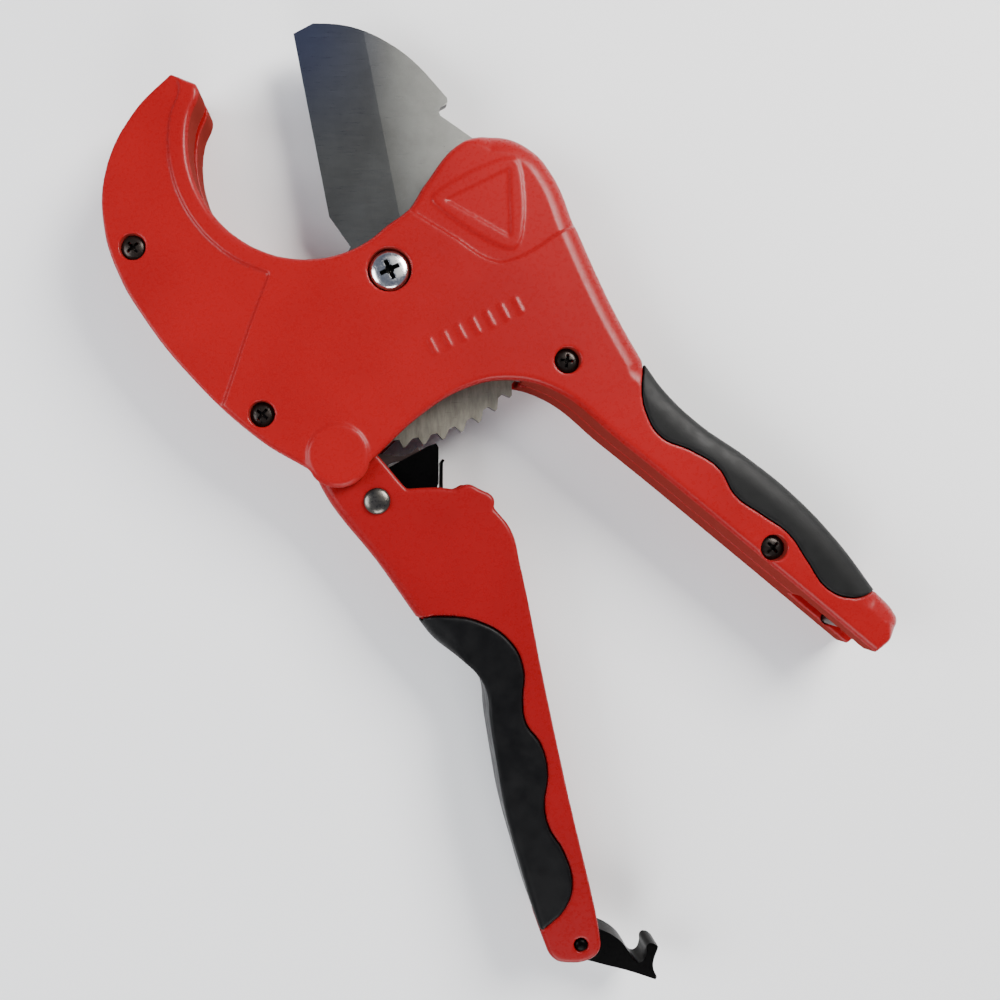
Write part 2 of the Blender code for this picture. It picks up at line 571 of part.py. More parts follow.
def make_moving_handle():
    frame = slab("moving_handle_frame", MOVING_HANDLE, HANDLE_LOW, HANDLE_HIGH, "moving_handle", "red_paint")
    round_rim(frame, HANDLE_HIGH, 0.9)
    round_rim(frame, HANDLE_LOW, 0.9)
    cut(
        frame,
        slab("moving_grip_seat_front", MOVING_GRIP, 20.0, 30.0, "moving_handle", grow=GAP),
        slab("moving_grip_seat_back", MOVING_GRIP, -5.0, 5.0, "moving_handle", grow=GAP),
        slab("upper_channel", UPPER_CHANNEL, CHEEK_LOW, CHEEK_HIGH, "moving_handle"),
        slab("lower_channel", LOWER_CHANNEL, 8.0, 17.0, "moving_handle"),
        rod("frame_pivot_hole", HANDLE_PIVOT, PIVOT_PIN_RADIUS + GAP, 0.0, THICKNESS, "moving_handle",
            sides=24),
        rod("frame_feed_hole", FEED_PIVOT, PIN_RADIUS + GAP, 0.0, THICKNESS, "moving_handle", sides=20),
        rod("frame_latch_hole", LATCH_PIVOT, 2.0, 0.0, THICKNESS, "moving_handle", sides=16),
    )
    grip = slab("moving_handle_grip", MOVING_GRIP, 2.4, 22.6, "moving_handle", "dark_rubber")
    round_rim(grip, 22.6, 0.8)
    round_rim(grip, 2.4, 0.8)
    cut(grip, slab("moving_grip_core", MOVING_HANDLE, 5.0, 20.0, "moving_handle", grow=GAP))
    turned("feed_pawl_pin", FEED_PIVOT, [
        (0.0, 23.2), (2.6, 23.1), (3.6, 22.7), (3.8, 22.0), (PIN_RADIUS, 22.0), (PIN_RADIUS, 3.0),
        (3.8, 3.0), (3.6, 2.2), (0.0, 1.9),
    ], "moving_handle", "dark_steel", steps=24)
    turned("latch_pin", LATCH_PIVOT, [
        (0.0, 22.1), (1.2, 22.0), (1.7, 21.5), (1.7, 3.5), (1.2, 3.0), (0.0, 2.9),
    ], "moving_handle", "black_steel", steps=16)
    coil("feed_pawl_spring", FEED_PIVOT, 3.1, 0.28, 6.45, 0.65, 1.0, 200.0, (-8.1, -62.4), (-5.6, -69.9),
         "moving_handle", "bright_steel")


def make_feed_pawl():
    pawl = slab("feed_pawl", FEED_PAWL, 7.5, 17.5, "feed_pawl", "black_steel")
    cut(
        pawl,
        slab("feed_pawl_gap", FEED_PAWL_GAP, 9.5, 15.5, "feed_pawl"),
        rod("feed_pawl_eye", FEED_PIVOT, PIN_RADIUS + GAP, 5.0, 20.0, "feed_pawl", sides=20),
    )
    slab("feed_pawl_leaf", FEED_LEAF, 9.5, 15.5, "feed_pawl", "black_steel")


def make_latch():
    latch = slab("latch", LATCH, 8.5, 16.5, "latch", "black_steel")
    cut(latch, rod("latch_eye", LATCH_PIVOT, 2.0, 5.0, 20.0, "latch", sides=16))


def shade_round_pieces():
    for piece in PARTS.objects:
        if piece.type == "MESH":
            piece.data.shade_smooth()
            piece.data.set_sharp_from_angle(angle=math.radians(35))


clear_scene()
PARTS = make_collection("pvc_pipe_cutter")
CUTTERS = make_collection("cutters")
MATERIALS = {name: make_material(name) for name in COLOURS}
EMPTIES = make_axes()
make_shells()
make_fixed_grip()
make_blade()
make_pivot()
make_screws()
make_handle_pivot()
make_hold_pawl()
make_moving_handle()
make_feed_pawl()
make_latch()
shade_round_pieces()
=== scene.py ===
"""Looks of the ratchet pipe cutter: fine meshes, materials, light and camera around the CAD frame."""

import math
import random

import bmesh
import bpy
from mathutils import Matrix, Vector
from mathutils.kdtree import KDTree
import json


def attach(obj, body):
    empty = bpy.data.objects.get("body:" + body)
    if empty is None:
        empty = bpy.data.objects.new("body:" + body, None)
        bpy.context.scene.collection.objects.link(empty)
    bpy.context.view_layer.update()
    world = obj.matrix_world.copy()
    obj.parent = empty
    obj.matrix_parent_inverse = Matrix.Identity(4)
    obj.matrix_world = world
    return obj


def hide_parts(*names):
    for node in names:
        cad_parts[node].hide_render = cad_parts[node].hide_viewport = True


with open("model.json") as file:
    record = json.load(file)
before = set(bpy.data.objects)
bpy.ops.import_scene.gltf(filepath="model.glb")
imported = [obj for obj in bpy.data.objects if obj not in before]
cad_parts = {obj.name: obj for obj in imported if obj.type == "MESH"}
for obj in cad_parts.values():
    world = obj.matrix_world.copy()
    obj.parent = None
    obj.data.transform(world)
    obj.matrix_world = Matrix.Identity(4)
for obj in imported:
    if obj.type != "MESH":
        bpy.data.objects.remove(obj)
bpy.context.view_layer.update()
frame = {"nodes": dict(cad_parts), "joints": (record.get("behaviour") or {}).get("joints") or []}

MM = 0.001
CORNER = "corner"


def joint_place(name):
    """A joint's place in the frame, in metres."""
    for joint in frame["joints"]:
        if joint["name"] == name:
            return Vector(joint["pos_m"])
    raise KeyError(name)


def from_pivot(place):
    """A place in the frame as millimetres from the blade pivot."""
    return ((place.x - PIVOT.x) / MM, (place.y - PIVOT.y) / MM)


# Places that the CAD settles: outlines below are in millimetres from the blade pivot.
PIVOT = joint_place("blade_pivot")
HANDLE_PIVOT = from_pivot(joint_place("handle_pivot"))
FEED_PIVOT = from_pivot(joint_place("feed_pawl_pivot"))
LATCH_PIVOT = from_pivot(joint_place("latch_pivot"))

# Sizes in millimetres
THICKNESS = 25.0
FACE = 3.0
SEAM = THICKNESS / 2
SEAM_GAP = 0.3
FIELD_DEPTH = 0.8
MOUTH_CENTRE = (-23.7, 36.1)
MOUTH_RADIUS = 33.0
MOUTH_BAND = 5.3
BOSS_RADIUS = 9.3
BOSS_RISE = 0.8
GAP = 0.3
BLADE_THICKNESS = 2.5
BLADE_LOW = SEAM - BLADE_THICKNESS / 2
BLADE_HIGH = SEAM + BLADE_THICKNESS / 2
SLOT_LOW = BLADE_LOW - 0.45
SLOT_HIGH = BLADE_HIGH + 0.45
BLADE_HOLE_RADIUS = 4.2
BLADE_SWING_RADIUS = 78.8
TOOTH_ROOM_RADIUS = 51.0
TOOTH_PITCH = 6.8
TOOTH_TIP = 49.6
TOOTH_ROOT = 47.3
TOOTH_FIRST = -23.7
TOOTH_COUNT = 17
EDGE_HEEL = (-17.6, 18.4)
EDGE_TIP = (-28.1, 72.0)
GRIND_WIDTH = 20.0
GRIND_LENGTH = 84.0
GRIND_DEPTH = 10.0
EDGE_THICKNESS = 0.5
WASHER_SEAT_RADIUS = 7.3
SPRING_ROOM_RADIUS = 8.6
SPRING_ROOM_FLOOR = 6.4
SPRING_BOSS_RADIUS = 5.2
LEG_ROOM_RADIUS = 15.8
LEG_ROOM_ANGLES = (213, 333)
CATCH_PIN = (131.0, -100.1)
CLOSED_LATCH_PIVOT = (126.0, -118.0)
SCREWS = ((-72.3, 6.5), (-35.8, -40.6), (50.0, -25.5), (107.9, -78.1))
SCREW_SEAT_RADIUS = 3.7
SCREW_HOLE_RADIUS = 1.8
PIVOT_HOLE_RADIUS = 2.8
PIN_HOLE_RADIUS = 1.9
LATCH_HOLE_RADIUS = 2.0
HANDLE_LOW = 3.3
HANDLE_HIGH = 21.7
FIXED_CORE = (5.2, THICKNESS - 5.2)
MOVING_CORE = (5.0, 20.0)
FIXED_GRIP_FACES = (0.3, THICKNESS - 0.3)
MOVING_GRIP_FACES = (2.4, 22.6)
UPPER_CHANNEL_FACES = (6.1, 18.9)
LOWER_CHANNEL_FACES = (8.0, 17.0)
FEED_PAWL_FACES = (7.5, 17.5)
FEED_GAP_FACES = (9.5, 15.5)
HOLD_PAWL_FACES = (11.0, 14.0)
LATCH_FACES = (8.5, 16.5)

# Camera: straight above the face, where the photograph's perspective puts it.
CAMERA_FROM_PIVOT = (-2.1, -63.0)
CAMERA_ABOVE_FACE = 259.0
CAMERA_LENS = 33.3
CAMERA_SHIFT = (0.118, -0.006)

CURVE_STEPS = 10
TURN_STEPS = 64
WELD = 0.005
MELT_PASSES = 2


def polar(radius, degrees, centre=(0.0, 0.0)):
    angle = math.radians(degrees)
    return (centre[0] + radius * math.cos(angle), centre[1] + radius * math.sin(angle))


def arc(centre, radius, start, end, count):
    return [polar(radius, start + (end - start) * i / (count - 1), centre) for i in range(count)]


# The fixed grip: a wavy finger side and a smooth palm side.
FIXED_GRIP = [
    (72.3, -26.0, CORNER), (71.0, -33.6), (72.2, -40.2), (76.0, -46.6), (85.0, -50.8), (92.4, -55.6),
    (97.2, -63.4), (104.3, -68.5), (112.0, -74.0), (117.4, -81.8), (122.9, -89.4), (129.6, -92.0),
    (137.5, -90.3, CORNER), (127.1, -76.4), (114.0, -62.7), (100.9, -52.2), (87.8, -43.1), (77.9, -33.7),
]
# The two shells share one outline. Under the grip it steps in, to a core.
BODY = [
    (-61.6, 55.2, CORNER), (-72.1, 44.4), (-80.0, 27.8), (-80.4, 12.0), (-75.8, -2.3), (-69.8, -12.5),
    (-58.5, -27.2), (-36.3, -48.0), (-23.6, -55.6, CORNER),
    *arc(HANDLE_PIVOT, BOSS_RADIUS, 206, 350, 8),
    (-3.9, -52.6, CORNER), (8.7, -40.9), (21.6, -33.2), (33.2, -30.9), (46.0, -33.8), (64.5, -48.0),
    (103.7, -80.1), (136.8, -107.7, CORNER), (142.4, -102.5), (144.2, -99.2), (143.3, -96.5),
    (138.1, -90.7, CORNER), (132.4, -89.4, CORNER), (129.0, -86.0), (116.0, -71.9), (103.0, -60.0),
    (90.4, -51.2), (78.0, -40.4), (73.2, -31.4, CORNER), (71.8, -25.2, CORNER), (64.0, -11.2),
    (53.0, 12.7), (46.5, 27.9), (39.9, 35.3), (30.4, 38.7), (20.3, 36.2), (10.1, 24.5), (5.1, 16.9),
    *arc(MOUTH_CENTRE, MOUTH_RADIUS, 315, 155, 13),
    (-54.5, 52.4, CORNER),
]
# Lower fields of both faces: the hook outside its raised rim, and the ear beyond its step.
HOOK_FIELD = [
    (-62.0, 60.0, CORNER), (-90.0, 60.0, CORNER), (-90.0, -60.0, CORNER), (-50.0, -48.0, CORNER),
    (-44.7, -32.7, CORNER), (-38.7, -14.7), (-33.6, -1.2, CORNER),
    *arc(MOUTH_CENTRE, MOUTH_RADIUS + MOUTH_BAND, 254, 157, 9),
]
EAR_FIELD = [
    (5.4, 16.6, CORNER), (18.0, 9.0, CORNER), (29.5, 2.2), (33.5, 2.3), (49.7, 11.3, CORNER),
    (70.0, 20.0, CORNER), (50.0, 60.0, CORNER), (0.0, 50.0, CORNER), (1.0, 18.0, CORNER),
]
EAR_TRIANGLE = [
    (12.2, 19.8), (13.4, 18.0), (34.4, 6.0), (36.3, 7.4), (36.0, 30.0), (34.4, 31.2), (13.6, 21.8),
]
EAR_TRIANGLE_INSIDE = [(15.4, 19.6, CORNER), (34.2, 8.9, CORNER), (33.8, 28.6, CORNER)]
# Room between the faces for the handle's cheeks and the pawls, open along the lower edge.
MECHANISM_ROOM = [
    (-23.2, -75.0, CORNER), (-23.2, -51.0), (-20.6, -45.6), (-14.4, -43.3), (-4.0, -43.3), (6.0, -41.0),
    (12.0, -37.5), (18.0, -32.0), (24.0, -29.4), (32.0, -28.0), (38.0, -29.0, CORNER), (40.0, -75.0, CORNER),
]
FIXED_HANDLE_ROOM = [
    (57.0, -31.0), (63.0, -42.0), (84.0, -58.5), (100.0, -71.5), (101.5, -75.5), (104.5, -72.0),
    (110.0, -72.5), (96.0, -60.0), (80.0, -48.5), (66.0, -35.0), (60.0, -20.0),
]
MOVING_GRIP = [
    (7.9, -98.4, CORNER), (12.8, -104.4), (20.5, -110.2), (25.1, -114.5), (27.6, -119.5), (28.4, -127.0),
    (30.5, -140.3), (32.9, -153.5), (36.7, -167.4), (40.6, -180.5), (42.9, -186.8, CORNER), (44.4, -185.6),
    (49.6, -180.4), (51.6, -173.5), (49.2, -164.6), (45.0, -157.6), (43.7, -151.5), (44.6, -142.0),
    (42.7, -134.1), (38.5, -128.1), (37.5, -121.5), (37.8, -113.0), (34.4, -105.4), (25.0, -99.3),
    (15.5, -97.9),
]
MOVING_HANDLE = [
    (-9.2, -46.9), (-14.4, -44.7), (-19.8, -46.6), (-22.3, -51.0), (-21.2, -57.4), (-1.5, -85.0),
    (7.6, -98.0, CORNER), (11.8, -99.8, CORNER), (15.4, -101.9), (22.8, -107.5), (29.2, -114.5),
    (31.9, -126.0), (36.3, -152.6), (43.9, -179.4), (45.0, -183.4, CORNER), (42.8, -187.0, CORNER),
    (43.9, -190.2), (46.6, -195.1), (50.4, -196.3), (57.2, -195.2), (59.8, -192.6), (59.8, -188.4),
    (50.2, -145.5), (44.2, -117.5), (37.3, -83.5), (34.6, -73.2), (29.8, -67.0, CORNER), (29.6, -64.1),
    (25.7, -61.6), (22.1, -60.2), (19.2, -61.4), (14.0, -61.1), (4.9, -61.5, CORNER),
]
# The handle is a channel: between its cheeks it is open towards the other handle.
UPPER_CHANNEL = [
    (-35.0, -40.0, CORNER), (-35.0, -60.5, CORNER), (-15.3, -60.5, CORNER), (10.9, -97.4, CORNER),
    (65.0, -97.4, CORNER), (45.0, -40.0, CORNER),
]
LOWER_CHANNEL = [
    (15.2, -96.0, CORNER), (28.5, -107.5), (34.5, -117.0), (36.0, -130.0), (41.0, -158.0), (47.0, -180.0),
    (48.8, -186.0), (49.2, -202.0, CORNER), (80.0, -202.0, CORNER), (60.0, -96.0, CORNER),
]
FEED_PAWL = [
    *arc(FEED_PIVOT, 4.6, 120, 270, 6),
    (6.0, -68.0), (12.6, -63.6), (14.2, -60.0, CORNER), (14.2, -49.6, CORNER), (13.5, -48.4, CORNER),
    (11.0, -49.3, CORNER), (0.0, -55.3, CORNER),
]
FEED_PAWL_GAP = [(-20.0, -45.0, CORNER), (-20.0, -80.0, CORNER), (12.1, -80.0, CORNER), (12.1, -45.0, CORNER)]
FEED_LEAF = [
    (14.7, -62.0, CORNER), (15.6, -61.4, CORNER), (15.6, -54.0, CORNER), (16.1, -53.2, CORNER),
    (15.5, -52.8, CORNER), (14.8, -53.9, CORNER),
]
HOLD_PAWL = [
    (8.4, -49.3, CORNER), (4.6, -51.7), (-1.5, -51.4), (-7.5, -50.4), (-12.2, -48.9),
    *arc(HANDLE_PIVOT, 3.9, 110, 260, 6),
    (-7.0, -56.0), (-1.6, -55.6, CORNER), (0.4, -54.0), (2.2, -53.5), (4.3, -53.9), (5.6, -55.2, CORNER),
    (9.9, -52.8, CORNER),
]
LATCH = [
    *arc(LATCH_PIVOT, 3.6, 70, 230, 6),
    (54.5, -196.6), (60.0, -198.5), (69.3, -200.9), (77.0, -203.4, CORNER), (77.4, -202.6, CORNER),
    (76.3, -199.6), (77.8, -193.9, CORNER), (76.4, -193.0), (74.8, -193.2), (74.3, -196.0),
    (73.4, -198.0), (72.0, -198.5), (70.6, -197.6), (69.3, -195.4), (66.6, -192.0), (60.2, -188.6),
]


def blade_outline():
    """Back, bearing arc, teeth and cutting edge of the blade plate."""
    heel = [(*EDGE_HEEL, CORNER), (-11.3, 9.5, CORNER), (-19.0, -6.0), (-31.0, -33.0, CORNER)]
    tooth_shape = ((-1.5, TOOTH_ROOT), (-0.35, TOOTH_TIP), (0.55, TOOTH_TIP - 0.1), (3.2, TOOTH_ROOT))
    teeth = []
    for tooth in range(TOOTH_COUNT - 1, -1, -1):
        angle = TOOTH_FIRST - TOOTH_PITCH * tooth
        for offset, radius in tooth_shape:
            teeth.append((*polar(radius, angle + offset), CORNER))
    back = [
        *arc((0.0, 0.0), 47.6, -18, 58, 8), (23.6, 41.5, CORNER), (14.9, 47.6, CORNER), (14.6, 49.3),
        (16.9, 51.3), (16.9, 52.8, CORNER), (6.7, 63.8), (-0.4, 68.9), (-8.6, 72.8), (-15.2, 74.4),
        (-22.3, 74.9, CORNER), (*EDGE_TIP, CORNER),
    ]
    return heel + teeth + back


# ---------------------------------------------------------------- modelling

def world_point(x, y, z):
    return Vector((PIVOT.x + x * MM, PIVOT.y + y * MM, z * MM))


def mesh_from_curve(curve):
    """The mesh of a curve, with its caps welded on."""
    guide = bpy.data.objects.new(curve.name, curve)
    bpy.context.scene.collection.objects.link(guide)
    evaluated = guide.evaluated_get(bpy.context.evaluated_depsgraph_get())
    mesh = bpy.data.meshes.new_from_object(evaluated)
    bpy.data.objects.remove(guide)
    shape = bmesh.new()
    shape.from_mesh(mesh)
    bmesh.ops.remove_doubles(shape, verts=shape.verts, dist=WELD * MM)
    bmesh.ops.dissolve_limit(
        shape, angle_limit=math.radians(0.02), use_dissolve_boundaries=False,
        verts=shape.verts, edges=shape.edges, delimit=set(),
    )
    bmesh.ops.recalc_face_normals(shape, faces=shape.faces)
    shape.to_mesh(mesh)
    shape.free()
    return mesh


def new_object(name, mesh):
    piece = bpy.data.objects.new(name, mesh)
    bpy.context.scene.collection.objects.link(piece)
    return piece


def slab(name, outline, low, high, grow=0.0, steps=CURVE_STEPS):
    """An outline filled and extruded between two heights, in the frame's metres."""
    curve = bpy.data.curves.new(name, "CURVE")
    curve.dimensions = "2D"
    curve.fill_mode = "BOTH"
    curve.resolution_u = steps
    curve.extrude = (high - low) / 2 * MM
    curve.bevel_depth = grow * MM
    curve.bevel_resolution = 0
    spline = curve.splines.new("BEZIER")
    spline.bezier_points.add(len(outline) - 1)
    for knot, point in zip(spline.bezier_points, outline):
        knot.co = (point[0] * MM, point[1] * MM, 0.0)
        kind = "VECTOR" if point[-1] == CORNER else "AUTO"
        knot.handle_left_type = kind
        knot.handle_right_type = kind
    spline.use_cyclic_u = True
    mesh = mesh_from_curve(curve)
    mesh.transform(Matrix.Translation(world_point(0.0, 0.0, (low + high) / 2)))
    return new_object(name, mesh)


def rod(name, centre, radius, low, high, sides=TURN_STEPS):
    shape = bmesh.new()
    bmesh.ops.create_cone(
        shape, cap_ends=True, segments=sides, radius1=radius * MM, radius2=radius * MM,
        depth=(high - low) * MM, matrix=Matrix.Translation(world_point(*centre, (low + high) / 2)),
    )
    mesh = bpy.data.meshes.new(name)
    shape.to_mesh(mesh)
    shape.free()
    return new_object(name, mesh)


def bar(name, centre, size, angle, tilt=0.0):
    turn = Matrix.Rotation(math.radians(angle), 4, "Z") @ Matrix.Rotation(math.radians(tilt), 4, "X")
    scale = Matrix.Diagonal((size[0] * MM, size[1] * MM, size[2] * MM, 1.0))
    shape = bmesh.new()
    bmesh.ops.create_cube(shape, size=1.0, matrix=Matrix.Translation(world_point(*centre)) @ turn @ scale)
    mesh = bpy.data.meshes.new(name)
    shape.to_mesh(mesh)
    shape.free()
    return new_object(name, mesh)


def turned(name, centre, profile, steps=TURN_STEPS):
    """A solid of revolution; its profile runs from the top to the bottom."""
    mesh = bpy.data.meshes.new(name)
    vertices = [(radius * MM, 0.0, height * MM) for radius, height in profile]
    mesh.from_pydata(vertices, [(i, i + 1) for i in range(len(vertices) - 1)], [])
    piece = new_object(name, mesh)
    screw = piece.modifiers.new("turn", "SCREW")
    screw.steps = steps
    screw.render_steps = steps
    screw.use_merge_vertices = True
    screw.merge_threshold = WELD * MM
    bake(piece)
    piece.data.transform(Matrix.Translation(world_point(*centre, 0.0)))
    return piece


def bake(piece):
    """Put the result of a piece's modifiers into its mesh."""
    evaluated = piece.evaluated_get(bpy.context.evaluated_depsgraph_get())
    mesh = bpy.data.meshes.new_from_object(evaluated)
    piece.modifiers.clear()
    piece.data = mesh
    return piece


def combine(piece, others, operation="DIFFERENCE"):
    """Cut the others out of a piece, or join them to it, and remove them."""
    for other in others:
        modifier = piece.modifiers.new(other.name, "BOOLEAN")
        modifier.operation = operation
        modifier.solver = "EXACT"
        modifier.object = other
    bake(piece)
    for other in others:
        bpy.data.objects.remove(other)
    return piece


def wall_edges(outline):
    """The edges of an outline, as pairs of points in the plane."""
    guide = slab("guide", outline, 0.0, 1.0)
    shape = bmesh.new()
    shape.from_mesh(guide.data)
    bpy.data.objects.remove(guide)
    edges = []
    for edge in shape.edges:
        start, end = (vert.co for vert in edge.verts)
        if max(start.z, end.z) < 0.5 * MM and edge.calc_face_angle(0.0) > math.radians(60):
            edges.append((start.xy.copy(), end.xy.copy()))
    shape.free()
    return edges


def points_along(edges):
    points = []
    for start, end in edges:
        count = max(1, round((end - start).length / (0.2 * MM)))
        points.extend(start.lerp(end, step / count) for step in range(count))
    return points


def is_inside(point, edges):
    """True if a ray from the point crosses the closed outline an odd number of times."""
    crossings = 0
    for start, end in edges:
        if (start.y > point.y) != (end.y > point.y):
            share = (point.y - start.y) / (end.y - start.y)
            if point.x < start.x + share * (end.x - start.x):
                crossings += 1
    return crossings % 2 == 1


def outline_tree(outline, neighbour=None):
    """A search tree of points along an outline, or along the joint outline with a neighbour."""
    edges = wall_edges(outline)
    points = points_along(edges)
    if neighbour:
        others = wall_edges(neighbour)
        points = [point for point in points if not is_inside(point, others)]
        points += [point for point in points_along(others) if not is_inside(point, edges)]
    tree = KDTree(len(points))
    for index, point in enumerate(points):
        tree.insert((point.x, point.y, 0.0), index)
    tree.balance()
    return tree


def round_over(piece, tree, side, rim_at):
    """Lower the vertices near the outline onto a rim.

    rim_at(x, y) gives the height of the face, the rim's width and depth, and how much of the
    depth is a plain slope, which leaves a ridge where the rim starts. The height is taken at the
    vertex and the rim at the nearest place of the outline.
    """
    for vertex in piece.data.vertices:
        place = vertex.co
        height, own_width = rim_at(*from_pivot(place))[:2]
        nearest, _, distance = tree.find((place.x, place.y, 0.0))
        width, depth, slope = rim_at(*from_pivot(nearest))[1:]
        inset = distance / MM
        if own_width == 0.0 or inset >= width:
            continue
        share = (width - inset) / width
        drop = depth * (slope * share + (1.0 - slope) * (1.0 - math.sqrt(1.0 - share * share)))
        limit = (height - side * drop) * MM
        if (place.z - limit) * side > 0.0:
            place.z = limit


def remesh(piece, voxel):
    even = piece.modifiers.new("even", "REMESH")
    even.mode = "VOXEL"
    even.voxel_size = voxel * MM
    return bake(piece)


def soften(piece, rims):
    """Even faces, rounded rims and slightly melted edges, as a casting or a moulding has them."""
    remesh(piece, VOXEL)
    for tree, side, rim_at in rims:
        round_over(piece, tree, side, rim_at)
    remesh(piece, VOXEL)
    smooth = piece.modifiers.new("melt", "SMOOTH")
    smooth.factor = 0.5
    smooth.iterations = MELT_PASSES
    if KEEP < 1.0:
        light = piece.modifiers.new("light", "DECIMATE")
        light.ratio = KEEP
    bake(piece)
    piece.data.shade_smooth()
    return piece


def crisp(piece, width=0.15, segments=2):
    """Machined edges: a fine bevel on every sharp edge."""
    bevel = piece.modifiers.new("edges", "BEVEL")
    bevel.width = width * MM
    bevel.segments = segments
    bevel.limit_method = "ANGLE"
    bevel.angle_limit = math.radians(32)
    even = piece.modifiers.new("normals", "WEIGHTED_NORMAL")
    even.weight = 100
    piece.data.shade_smooth()
    bake(piece)
    return piece


def finish_piece(piece, node, body, material):
    """Stand a fine piece in for its CAD node."""
    piece.data.materials.clear()
    piece.data.materials.append(material)
    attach(piece, body)
    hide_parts(node)
    return piece

# ---------------------------------------------------------------- materials

class Nodes:
    """A material with its node tree, and short ways to add nodes to it."""

    def __init__(self, name):
        self.material = bpy.data.materials.new(name)
        self.material.use_nodes = True
        self.tree = self.material.node_tree
        self.shader = self.tree.nodes["Principled BSDF"]
        self.place = self.add("ShaderNodeTexCoord").outputs["Object"]

    def add(self, kind, **inputs):
        node = self.tree.nodes.new(kind)
        for key, value in inputs.items():
            node.inputs[key.replace("_", " ")].default_value = value
        return node

    def link(self, source, target):
        self.tree.links.new(source, target)

    def noise(self, scale, detail=4.0, roughness=0.5, stretch=None, turn=0.0, lift=0.0):
        """Noise of a given scale per metre; stretch squeezes it along the turned axes."""
        node = self.add("ShaderNodeTexNoise", Scale=scale, Detail=detail, Roughness=roughness)
        mapping = self.add("ShaderNodeMapping")
        mapping.inputs["Rotation"].default_value = (0.0, 0.0, math.radians(turn))
        mapping.inputs["Location"].default_value = (lift, lift, lift)
        if stretch:
            mapping.inputs["Scale"].default_value = stretch
        self.link(self.place, mapping.inputs["Vector"])
        self.link(mapping.outputs["Vector"], node.inputs["Vector"])
        return node.outputs["Fac"]

    def ramp(self, source, *stops):
        """Map a value to colours or greys; each stop is a position and a colour."""
        node = self.add("ShaderNodeValToRGB")
        elements = node.color_ramp.elements
        while len(elements) < len(stops):
            elements.new(0.5)
        for element, (position, colour) in zip(elements, stops):
            element.position = position
            element.color = colour if isinstance(colour, tuple) else (colour, colour, colour, 1.0)
        self.link(source, node.inputs["Fac"])
        return node.outputs["Color"]

    def mix(self, factor, first, second, kind="MIX"):
        node = self.add("ShaderNodeMix")
        node.data_type = "RGBA"
        node.blend_type = kind
        for key, value in (("Factor", factor), ("A", first), ("B", second)):
            socket = node.inputs[key]
            if isinstance(value, (tuple, float)):
                socket.default_value = value
            else:
                self.link(value, socket)
        return node.outputs["Result"]

    def facing(self):
        """How far the surface faces the front or the back: 1 on the faces, 0 on the side walls."""
        split = self.add("ShaderNodeSeparateXYZ")
        self.link(self.tree.nodes.new("ShaderNodeTexCoord").outputs["Normal"], split.inputs[0])
        size = self.add("ShaderNodeMath")
        size.operation = "ABSOLUTE"
        self.link(split.outputs["Z"], size.inputs[0])
        return size.outputs[0]

    def spread(self, source, low, high):
        """Map the range between two (from, to) pairs smoothly."""
        node = self.add("ShaderNodeMapRange")
        node.interpolation_type = "SMOOTHSTEP"
        for key, value in zip(("From Min", "To Min", "From Max", "To Max"), (*low, *high)):
            node.inputs[key].default_value = value
        self.link(source, node.inputs["Value"])
        return node.outputs["Result"]

    def along(self, heading, low, high):
        """0 to 1 between two distances from the blade pivot, in millimetres, along a heading."""
        angle = math.radians(heading)
        direction = Vector((math.cos(angle), math.sin(angle), 0.0))
        node = self.add("ShaderNodeVectorMath")
        node.operation = "DOT_PRODUCT"
        self.link(self.place, node.inputs[0])
        node.inputs[1].default_value = direction
        start = PIVOT.dot(direction)
        return self.spread(node.outputs["Value"], (start + low * MM, 0.0), (start + high * MM, 1.0))

    def distance(self, centre):
        """The distance from a place given in millimetres from the blade pivot, in metres."""
        node = self.add("ShaderNodeVectorMath")
        node.operation = "DISTANCE"
        self.link(self.place, node.inputs[0])
        node.inputs[1].default_value = world_point(*centre)
        return node.outputs["Value"]

    def relief(self, *layers):
        """Bump layers, each a height source with its depth in millimetres and its strength."""
        normal = None
        for height, depth, strength in layers:
            node = self.add("ShaderNodeBump", Strength=strength, Distance=depth * MM)
            self.link(height, node.inputs["Height"])
            if normal:
                self.link(normal, node.inputs["Normal"])
            normal = node.outputs["Normal"]
        self.link(normal, self.shader.inputs["Normal"])


def colour(red, green, blue):
    """A display colour, 0 to 255, as linear light."""
    channels = []
    for value in (red, green, blue):
        value = value / 255
        channels.append(value / 12.92 if value <= 0.04045 else ((value + 0.055) / 1.055) ** 2.4)
    return (*channels, 1.0)


